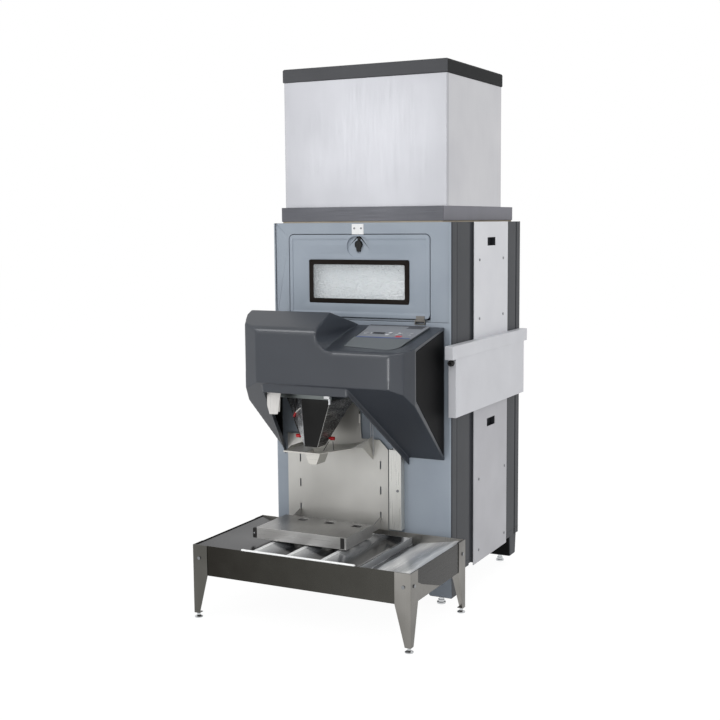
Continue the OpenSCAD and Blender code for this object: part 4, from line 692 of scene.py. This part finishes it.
bpy.ops.object.select_all(action="DESELECT")
bpy.ops.mesh.primitive_grid_add(x_subdivisions=ICE_CELLS[0], y_subdivisions=ICE_CELLS[1], size=1,
                                location=(sum(ICE_X) / 2, ICE_FRONT, sum(ICE_Z) / 2),
                                rotation=(math.radians(90), 0, 0))
ice = bpy.context.object
ice.scale = (ICE_X[1] - ICE_X[0], ICE_Z[1] - ICE_Z[0], 1)
bpy.ops.object.transform_apply()
for corner in ice.data.vertices:
    corner.co.y -= random.uniform(0, ICE_BUMPS)
bpy.ops.object.mode_set(mode="EDIT")
bpy.ops.mesh.select_all(action="SELECT")
bpy.ops.mesh.extrude_region_move(TRANSFORM_OT_translate={"value": (0, ICE_DEPTH, 0)})
bpy.ops.mesh.select_all(action="SELECT")
bpy.ops.mesh.normals_make_consistent(inside=False)
bpy.ops.object.mode_set(mode="OBJECT")
print("ice mass", len(ice.data.polygons), "faces")

# %% Loose lumps of ice
LUMPS = 420
LUMP_MM = (7, 15)
LUMP_STRETCH = (0.6, 1.3)
LUMP_PROUD = (0.001, 0.006)
FULL_TURN = 6.28


def place_lump(first):
    """A copy of the first lump with its own turn, size, shape and place in the ice's front."""
    lump = first.copy()
    lump.data = first.data.copy()
    bpy.context.scene.collection.objects.link(lump)
    turn = Matrix.Rotation(random.uniform(0, FULL_TURN), 4,
                           Vector([random.uniform(-1, 1) for _ in "xyz"]))
    radius = random.uniform(*LUMP_MM) / 2 / 1000
    stretch = Matrix.Diagonal([radius * random.uniform(*LUMP_STRETCH) for _ in "xyz"] + [1])
    spot = Matrix.Translation((random.uniform(*ICE_X), ICE_FRONT - random.uniform(*LUMP_PROUD),
                               random.uniform(*ICE_Z)))
    lump.data.transform(spot @ turn @ stretch)
    return lump


bpy.ops.object.select_all(action="DESELECT")
bpy.ops.mesh.primitive_ico_sphere_add(subdivisions=1, radius=1, location=(0, 0, 0))
first = bpy.context.object
bpy.ops.object.mode_set(mode="EDIT")
bpy.ops.mesh.select_all(action="SELECT")
bpy.ops.transform.vertex_random(offset=0.25, seed=4)
bpy.ops.object.mode_set(mode="OBJECT")
lumps = [place_lump(first) for _ in range(LUMPS)]
bpy.data.objects.remove(first)
bpy.ops.object.select_all(action="DESELECT")
for piece in (ice, *lumps):
    piece.select_set(True)
bpy.context.view_layer.objects.active = ice
bpy.ops.object.join()
ice.name = "crushed_ice"
finish_faces(ice, "ice_crushed")
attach(ice, "cabinet")
print("ice", len(ice.data.polygons), "faces")

# %% [markdown]
# ## Ice machine and adapter
#
# The machine on top is a box of brushed stainless sheet under a dark moulded cap. Below it
# an adapter frame, painted at its sides and with a dark steel strip in front, closes the bin.

# %% Ice machine
CAP_FRONT = -0.5


# The cap is one charcoal moulding; faces that don't look ahead take a darker copy, painted shade.
def cap_front_or_side(place, normal):
    return 0 if normal.y < CAP_FRONT else 1


softened("head_front_panel", "machine_steel_front", round_mm=2)
softened("head_right_panel", "machine_steel_side", round_mm=2)
softened("head_left_panel", "machine_steel_side", round_mm=2)
softened("head_rear_panel", "galvanised_sheet", round_mm=0.6)
softened("head_top_cap", ["cap_charcoal_abs", "cap_side_painted_shade_abs"], round_mm=4,
         choose=cap_front_or_side, segments=3)
softened("adapter_frame", "adapter_side_paint", round_mm=1.5)
softened("adapter_front_trim", "adapter_front_dark_steel", round_mm=1)
print("ice machine dressed")

# %% [markdown]
# ## Dispenser hood
#
# The hood is a thick charcoal moulding with generous radii: its ridges shine as thin light
# lines. A bevel can't round the swept step, where many short edges meet. So the copy is
# built again from even two-millimetre faces, and a Smooth modifier relaxes them until each
# ridge has its radius. The upper front has the widest radii, so it is relaxed further. A
# Decimate modifier then thins the faces out to a number of triangles, and each of the even
# faces counts as two. A lip that hangs along the front of the opening is joined to the copy
# first. Two black covers close the rear corners, and the control panel lies on the slope.

# %% The hood, melted into one skin
HOOD_GRAIN = 0.002
HOOD_MELTS, WIDE_MELTS = 14, 50
WIDE_AHEAD, WIDE_ABOVE = FACE - 0.31, 1.0
HOOD_TRIANGLES = 70000
HOOD_LIP = (Vector((-0.262, FACE - 0.366, 0.924)), Vector((0.126, FACE - 0.359, 0.962)))


def join_block(piece, low, high):
    bpy.ops.object.select_all(action="DESELECT")
    bpy.ops.mesh.primitive_cube_add(size=1, location=(low + high) / 2, scale=high - low)
    bpy.ops.object.transform_apply()
    piece.select_set(True)
    bpy.context.view_layer.objects.active = piece
    bpy.ops.object.join()


hood = merged_copy("hood_shell")
solid_area = skin_area(hood)
join_block(hood, *HOOD_LIP)
modify(hood, "REMESH", mode="VOXEL", voxel_size=HOOD_GRAIN)
modify(hood, "SMOOTH", factor=0.5, iterations=HOOD_MELTS)
wide = hood.vertex_groups.new(name="widest_radii")
wide.add([v.index for v in hood.data.vertices if v.co.y < WIDE_AHEAD and v.co.z > WIDE_ABOVE],
         1, "REPLACE")
modify(hood, "SMOOTH", factor=0.5, iterations=WIDE_MELTS, vertex_group=wide.name)
print(f"hood_shell: {len(hood.data.polygons)} small faces")
modify(hood, "DECIMATE", ratio=min(1, HOOD_TRIANGLES / len(hood.data.polygons) / 2))
bpy.ops.object.shade_smooth()
tell(hood, "hood_shell", solid_area)
finish_faces(hood, "hood_polyethylene")
hand_over(hood, "hood_shell")
hood_only.objects.link(hood)

# %% Covers and control panel
PAD_TOP = 0.6


def pad_top_or_front(place, normal):
    return 0 if normal.z > PAD_TOP else 1


softened("hood_cover_right", "cover_black_abs", round_mm=3)
softened("hood_cover_left", "cover_black_abs", round_mm=3)
softened("control_panel", ["keypad_overlay", "keypad_front"], round_mm=5,
         choose=pad_top_or_front, segments=3)
for n in range(1, 5):
    softened(f"key_{n}", "keypad_overlay", round_mm=0.4)
print("hood dressed")

# %% [markdown]
# ### Print on the control panel
#
# The panel is covered by a printed film. It carries a dark display, a white sign over each
# of the four keys, one red bar and a thin blue line along its front. Each is a thin flat
# piece that lies on the film, 0.4 mm proud, as thick as a screen print is drawn.
#
# Known fault: each corner is placed by a ray from above. A ray that goes through a key's hole
# or past the panel's left edge finds nothing, and its corner ends at the origin. So
# sign_drop, sign_drop_2 and sign_stop trail thin slivers down to the origin, and
# film_border_left and sign_stop_mark lie there whole, where they don't show.

# %% A closed plate from a flat outline, and a print that lies on the sloping film
PRINT_THICKNESS = 0.0004
ABOVE_ALL = 3
panel_skin = bpy.data.objects["control_panel_skin"]


def thick_outline(name, corners, push):
    """A flat outline through the given places, pushed along a direction to give it walls."""
    bpy.ops.object.select_all(action="DESELECT")
    bpy.ops.mesh.primitive_circle_add(vertices=len(corners), radius=1, fill_type="NGON")
    piece = bpy.context.object
    piece.name = name
    for corner, place in zip(piece.data.vertices, corners):
        corner.co = place
    bpy.ops.object.mode_set(mode="EDIT")
    bpy.ops.mesh.select_all(action="SELECT")
    bpy.ops.mesh.extrude_region_move(TRANSFORM_OT_translate={"value": push})
    bpy.ops.mesh.select_all(action="SELECT")
    bpy.ops.mesh.normals_make_consistent(inside=False)
    bpy.ops.object.mode_set(mode="OBJECT")
    return piece


def pad_point(x, y):
    """The place on the panel's top under a point given in mm from the bin's front.

    It is the origin where there is no panel under the point.
    """
    above = Vector((x / 1000, FACE + y / 1000, ABOVE_ALL))
    return panel_skin.ray_cast(above, Vector((0, 0, -1)))[1]


def lay_print(name, corners, finish):
    """The corners are in mm, counter-clockwise from above."""
    piece = thick_outline(name, [pad_point(x, y) for x, y in corners], (0, 0, PRINT_THICKNESS))
    finish_faces(piece, finish)
    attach(piece, "cabinet")


# %% Borders, the band of painted shade at the film's rear, display, signs, red bar and blue line: name, outline in mm, finish
KEY_Y = -142
DROP_X, STEP_X, START_X, STOP_X = 110, 208, 251, 302


def ring_points(x, y, r, n=16):
    """The n corners of a disc of radius r about a point."""
    turns = [2 * math.pi * i / n for i in range(n)]
    return [(x + r * math.cos(turn), y + r * math.sin(turn)) for turn in turns]


def box_points(x0, y0, x1, y1, lean=0):
    """The corners of a box, whose far side may lean to the right."""
    return [(x0, y0), (x1, y0), (x1 + lean, y1), (x0 + lean, y1)]


PRINTS = [
    ("film_border_left", [(64, -198), (74, -198), (64, -72), (62.5, -72)], "film_border_black"),
    ("film_border_left_2", [(78, -198), (83, -198), (72, -72), (67, -72)], "film_border_black"),
    # A band of painted shade across the film's rear, up to the panel's rear edge.
    ("film_border_top", [(66, -70), (318, -70), (322, -27), (66, -27)], "film_border_grey"),
    ("display_bezel", box_points(134, -152, 188, -128, -4), "display_bezel_black"),
    ("display_glass", box_points(137, -149, 184, -131, -3), "display_dark_glass"),
    ("sign_drop", ring_points(DROP_X - 6, KEY_Y, 10), "key_white_print"),
    ("sign_drop_2", ring_points(DROP_X + 11, KEY_Y, 8, 10), "key_white_print"),
    ("sign_step", box_points(STEP_X - 13, KEY_Y - 22, STEP_X + 1, KEY_Y + 18, 6),
     "key_white_print"),
    ("sign_start", [(START_X - 12, KEY_Y - 15), (START_X + 15, KEY_Y + 2),
                    (START_X - 6, KEY_Y + 17)], "key_white_print"),
    ("sign_stop", ring_points(STOP_X, KEY_Y, 12), "key_white_print"),
    ("sign_stop_mark", box_points(STOP_X - 5, KEY_Y - 5, STOP_X + 5, KEY_Y + 5),
     "film_border_grey"),
    ("red_bar", box_points(START_X - 2, KEY_Y - 44, START_X + 24, KEY_Y - 24, 4), "red_print"),
    ("blue_line", box_points(84, -200, 322, -192), "blue_print"),
]
for row in PRINTS:
    lay_print(*row)
print(len(PRINTS), "prints laid on the panel")

# %% [markdown]
# ## Chute and back plate
#
# Under the hood everything is folded stainless sheet: a tapered chute on a light frame, a
# guide with a spout, the plate on the bin's face and the channel for the cables beside it.
# The chute's front is a painted dark reflection, its two sides carry painted reflections of
# different brightness, and a narrow fold between the front and the right side is a painted
# highlight.

# %% Chute, guide, plate and channel
GUSSET_X, GUSSET_Z = -0.245, 0.889
CHUTE_FRONT, CHUTE_FLANK = -0.98, 0.5
FOLD_X, FOLD_Y = (0.1, 0.6), -0.75


def rail_or_gusset(place, normal):
    return 1 if place.x < GUSSET_X and place.z < GUSSET_Z else 0


def chute_side(place, normal):
    """0 for the front, 1 for the left side, 2 for the right one and 3 for the fold's painted
    highlight.
    """
    if normal.y < CHUTE_FRONT:
        return 0
    if FOLD_X[0] < normal.x < FOLD_X[1] and normal.y < FOLD_Y:
        return 3
    return 1 if normal.x < -CHUTE_FLANK else 2 if normal.x > CHUTE_FLANK else 0


softened("chute_funnel", ["chute_painted_dark_reflection_steel", "chute_left_steel", "chute_right_steel",
                          "chute_fold_painted_highlight_steel"], round_mm=1.6, choose=chute_side)
softened("chute_frame", ["rail_steel", "gusset_steel"], round_mm=1, choose=rail_or_gusset)
softened("spout_guide", "guide_steel", round_mm=1)
softened("back_plate", "plate_mill_steel", round_mm=1)
softened("back_channel", "channel_steel", round_mm=1.5)
softened("sensor_heads", "sensor_red_abs", round_mm=2)
print("chute dressed")

# %% [markdown]
# A bright two-part plate hangs beside the chute, fastened to the hood's flank, and a bright
# clip closes the right end of the rail. Each starts as a flat outline that is thickened.

# %% Outlines in mm, and a plate from an outline
def at(x, y, z):
    """A place given in mm: x and z as they are, y from the bin's front."""
    return Vector((x / 1000, FACE + y / 1000, z / 1000))


def on_plane(y, *pairs):
    """Places in mm that share one y, from pairs of x and z."""
    return [(x, y, z) for x, z in pairs]


def plate(name, corners, depth_mm, finish, edge_mm=0.3, body="cabinet"):
    """A flat outline pushed along depth_mm, with its edges broken."""
    piece = thick_outline(name, [at(*place) for place in corners], Vector(depth_mm) / 1000)
    round_edges(piece, edge_mm)
    finish_faces(piece, finish)
    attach(piece, body)


# %% Hanger plates and rail clip
HANGER_Y, HANGER_MM = -320, 2
RAIL_Y, CLIP_MM, TONGUE_MM = -248, 14, 9
plate("hanger_plate_left", on_plane(HANGER_Y, (-270, 958), (-270, 862), (-259, 827), (-235, 828),
                                    (-240, 958)), (0, HANGER_MM, 0), "hanger_steel")
plate("hanger_plate_right", on_plane(HANGER_Y - HANGER_MM, (-241, 958), (-236, 828), (-219, 830),
                                     (-203, 918), (-203, 958)), (0, HANGER_MM, 0), "hanger_steel")
plate("rail_clip", on_plane(RAIL_Y, (-35, 897), (-10, 896), (-9, 913), (-35, 914)),
      (0, -CLIP_MM, 0), "clip_zinc")
plate("rail_clip_tongue", on_plane(RAIL_Y, (-16, 897), (-16, 872), (-9, 872), (-9, 897)),
      (0, -TONGUE_MM, 0), "clip_zinc")
print("hanger plates and clip")

# %% [markdown]
# ### Leads and rods
#
# The sensors' leads are 5 mm cables held at both ends: they leave the heads and run up behind
# the rail, so none of them is a loose cord. A red sleeve covers the joint of a black and a
# white one. Two wire rods hang under the right sensor and a white probe hangs beside the
# chute. Each is a curve with a round section, which is then made a mesh.

# %% A tube along points given in mm
TUBE_MERGE = 0.00001
TUBE_SMOOTH = math.radians(40)


def tube(name, points, thick_mm, finish, slot="black_rubber"):
    path = bpy.data.curves.new(name, "CURVE")
    path.dimensions = "3D"
    path.bevel_depth = thick_mm / 2 / 1000
    path.bevel_resolution = 3
    path.use_fill_caps = True
    line = path.splines.new("NURBS")
    line.points.add(len(points) - 1)
    for corner, place in zip(line.points, points):
        corner.co = (*at(*place), 1)
    line.use_endpoint_u = True
    line.order_u = min(4, len(points))
    piece = bpy.data.objects.new(name, path)
    bpy.context.scene.collection.objects.link(piece)
    only(piece)
    bpy.ops.object.convert(target="MESH")
    piece = bpy.context.object
    bpy.ops.object.mode_set(mode="EDIT")
    bpy.ops.mesh.select_all(action="SELECT")
    bpy.ops.mesh.remove_doubles(threshold=TUBE_MERGE)
    bpy.ops.mesh.normals_make_consistent(inside=False)
    bpy.ops.object.mode_set(mode="OBJECT")
    bpy.ops.object.shade_smooth_by_angle(angle=TUBE_SMOOTH)
    finish_faces(piece, finish)
    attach(piece, "cabinet")


# %% Leads, sleeve, rods and probe: name, points, thickness in mm, finish, slot
LEAD_Y, ROD_Y = -185, -175
LEAD_MM, SLEEVE_MM, ROD_MM, PROBE_MM = 5, 9, 3, 9
TUBES = [
    ("lead_to_left_sensor", on_plane(LEAD_Y, (-190, 722), (-205, 751), (-218, 776), (-222, 799)),
     LEAD_MM, "rubber_black"),
    ("lead_sleeve", [(-222, -182, 795), (-226, -176, 804), (-208, -190, 820)],
     SLEEVE_MM, "sensor_red_abs"),
    ("lead_white", [(-210, -189, 818), (-205, -194, 822), (-182, -217, 837), (-156, -236, 848)],
     LEAD_MM, "nylon_white"),
    ("lead_black_up", [(-210, -190, 818), (-216, -186, 838), (-200, -203, 862),
                       (-188, -217, 900)], LEAD_MM, "rubber_black"),
    ("rod_left", on_plane(ROD_Y, (-60, 702), (-73, 683), (-86, 662)),
     ROD_MM, "rod_dark_steel", "brushed_steel"),
    ("rod_right", on_plane(ROD_Y, (-41, 704), (-39, 682), (-36, 660)),
     ROD_MM, "rod_dark_steel", "brushed_steel"),
    ("probe", [(2, -12, 800), (2, -12, 780), (2, -12, 760)],
     PROBE_MM, "nylon_white", "keypad_grey"),
    ("probe_arm", [(-8, -2, 832), (-4, -8, 826), (2, -12, 812), (2, -12, 797)],
     LEAD_MM, "rubber_black"),
]
for row in TUBES:
    tube(*row)
print(len(TUBES), "leads, rods and the probe")

# %% [markdown]
# ## Side box
#
# A shallow steel box on the right side holds the wiring, with a lid that wraps over its ends.

# %% Side box
NUT_Y = FACE - 0.041


def gland_or_nut(place, normal):
    return 1 if place.y > NUT_Y else 0


softened("control_box", "box_light_powder_coat", round_mm=1.5)
softened("control_box_lid", "box_light_powder_coat", round_mm=2)
softened("cable_gland", ["rubber_black", "hinge_steel"], round_mm=1, choose=gland_or_nut)
print("side box dressed")

# %% [markdown]
# ## Table
#
# The catch table is polished stainless: dark, mirror-like skirts, a tray that slopes to a
# sump, slats over it, and four legs folded from thick sheet.

# %% Which finish a face of the table takes
TRAY_SPLIT_X = 0.24
SIDEWAYS, UPWARD = 0.7, 0.7
SKIRT_REAR = FACE - 0.08
RIDGE_FLAT, UNDERSIDE = 0.995, -0.2
BAR_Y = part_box("grate")[0][1] + 0.03


def skirt_side(place, normal):
    """0 for the front skirt, 1 for the sides, in painted shade, 2 for what stands at the rear."""
    if abs(normal.x) > SIDEWAYS:
        return 1
    return 2 if place.y > SKIRT_REAR else 0


# The left legs take painted shade, and the right legs' faces that look right a lighter painted
# shade.
def leg_side(place, normal):
    return 1 if place.x < 0 else 2 if normal.x > SIDEWAYS else 0


# The tray's right part, past TRAY_SPLIT_X, takes the painted bright reflection bands.
def tray_side(place, normal):
    return 1 if place.x > TRAY_SPLIT_X else 0


def ridge_or_slope(place, normal):
    """1 for the painted highlight: slat ridges and undersides, and the bar across the slats'
    front ends.
    """
    return 1 if abs(normal.z) > RIDGE_FLAT or normal.z < UNDERSIDE or place.y < BAR_Y else 0


# The shelf's top takes a painted dark reflection, darker than its front.
def shelf_top(place, normal):
    return 1 if normal.z > UPWARD else 0


# %% Table, legs, grate and shelf
softened("table_frame", ["skirt_painted_dark_reflection_steel", "skirt_side_painted_shade_steel", "leg_steel"],
         round_mm=1.5, choose=skirt_side)
softened("table_top", ["tray_painted_dark_reflection_steel", "tray_painted_reflection_steel"], round_mm=1.5, choose=tray_side)
softened("table_legs", ["leg_steel", "leg_shaded_steel", "leg_side_steel"], round_mm=1,
         choose=leg_side)
softened("table_feet", "foot_bright_nickel", round_mm=2)
softened("bin_feet", "foot_bright_nickel", round_mm=2)
softened("grate", ["slat_painted_reflection_steel", "slat_painted_highlight_steel"], round_mm=1, choose=ridge_or_slope)
softened("fill_shelf", ["shelf_steel", "shelf_top_painted_dark_reflection_steel"], round_mm=1, choose=shelf_top)
softened("screws", "screw_zinc", round_mm=0.8)
print("table dressed; bare:", sorted(set(nodes) - dressed))

# %% [markdown]
# Three small things finish the table: a three-cornered brace from each front leg to the side
# skirt, a rubber bumper with a bolt at the shelf's left front corner, and a dark end cap at
# its right one.

# %% Leg braces
SKIRT_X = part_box("table_frame")[1][0] * 1000
BRACE_MM = 1.5
BRACE = [(-500, 186), (-280, 186), (-452, 240), (-500, 262)]
# Each brace takes the painted shade of the legs on its side.
for name, side, finish in (("leg_brace_right", 1, "leg_side_steel"),
                           ("leg_brace_left", -1, "leg_shaded_steel")):
    plate(name, [(side * SKIRT_X, y, z) for y, z in BRACE], (side * BRACE_MM, 0, 0), finish)
print("braces")

# %% Shelf bumper, its bolt and the end cap
shelf_low, shelf_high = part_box("fill_shelf")
left, right, ahead = shelf_low[0] * 1000, shelf_high[0] * 1000, (shelf_low[1] - FACE) * 1000
SHELF_BODY = BODY_OF["fill_shelf"]
RUBBER_FOOT_Z = 299
BUMPER_PROUD, BUMPER_WIDTH, BUMPER_TOP_Z, BUMPER_MM = 1, 19, 341, 16
END_CAP_PROUD, END_CAP_X, END_CAP_TOP_Z = 1.2, (27, 9), 344
BOLT_PROUD, BOLT_X, BOLT_Z, BOLT_RADIUS, BOLT_MM = 4, 10, 320, 4, 3.5

bumper = box_points(left - BUMPER_WIDTH, RUBBER_FOOT_Z, left, BUMPER_TOP_Z)
end_cap = box_points(right - END_CAP_X[0], RUBBER_FOOT_Z, right - END_CAP_X[1], END_CAP_TOP_Z)
bolt = ring_points(left - BOLT_X, BOLT_Z, BOLT_RADIUS, 6)
plate("shelf_bumper", on_plane(ahead - BUMPER_PROUD, *bumper), (0, BUMPER_MM, 0),
      "rubber_black", edge_mm=2, body=SHELF_BODY)
plate("shelf_end_cap", on_plane(ahead - END_CAP_PROUD, *end_cap), (0, END_CAP_PROUD, 0),
      "rubber_black", body=SHELF_BODY)
plate("shelf_bumper_bolt", on_plane(ahead - BOLT_PROUD, *bolt), (0, BOLT_MM, 0),
      "foot_bright_nickel", edge_mm=0.5, body=SHELF_BODY)
print("bumper, bolt and end cap")
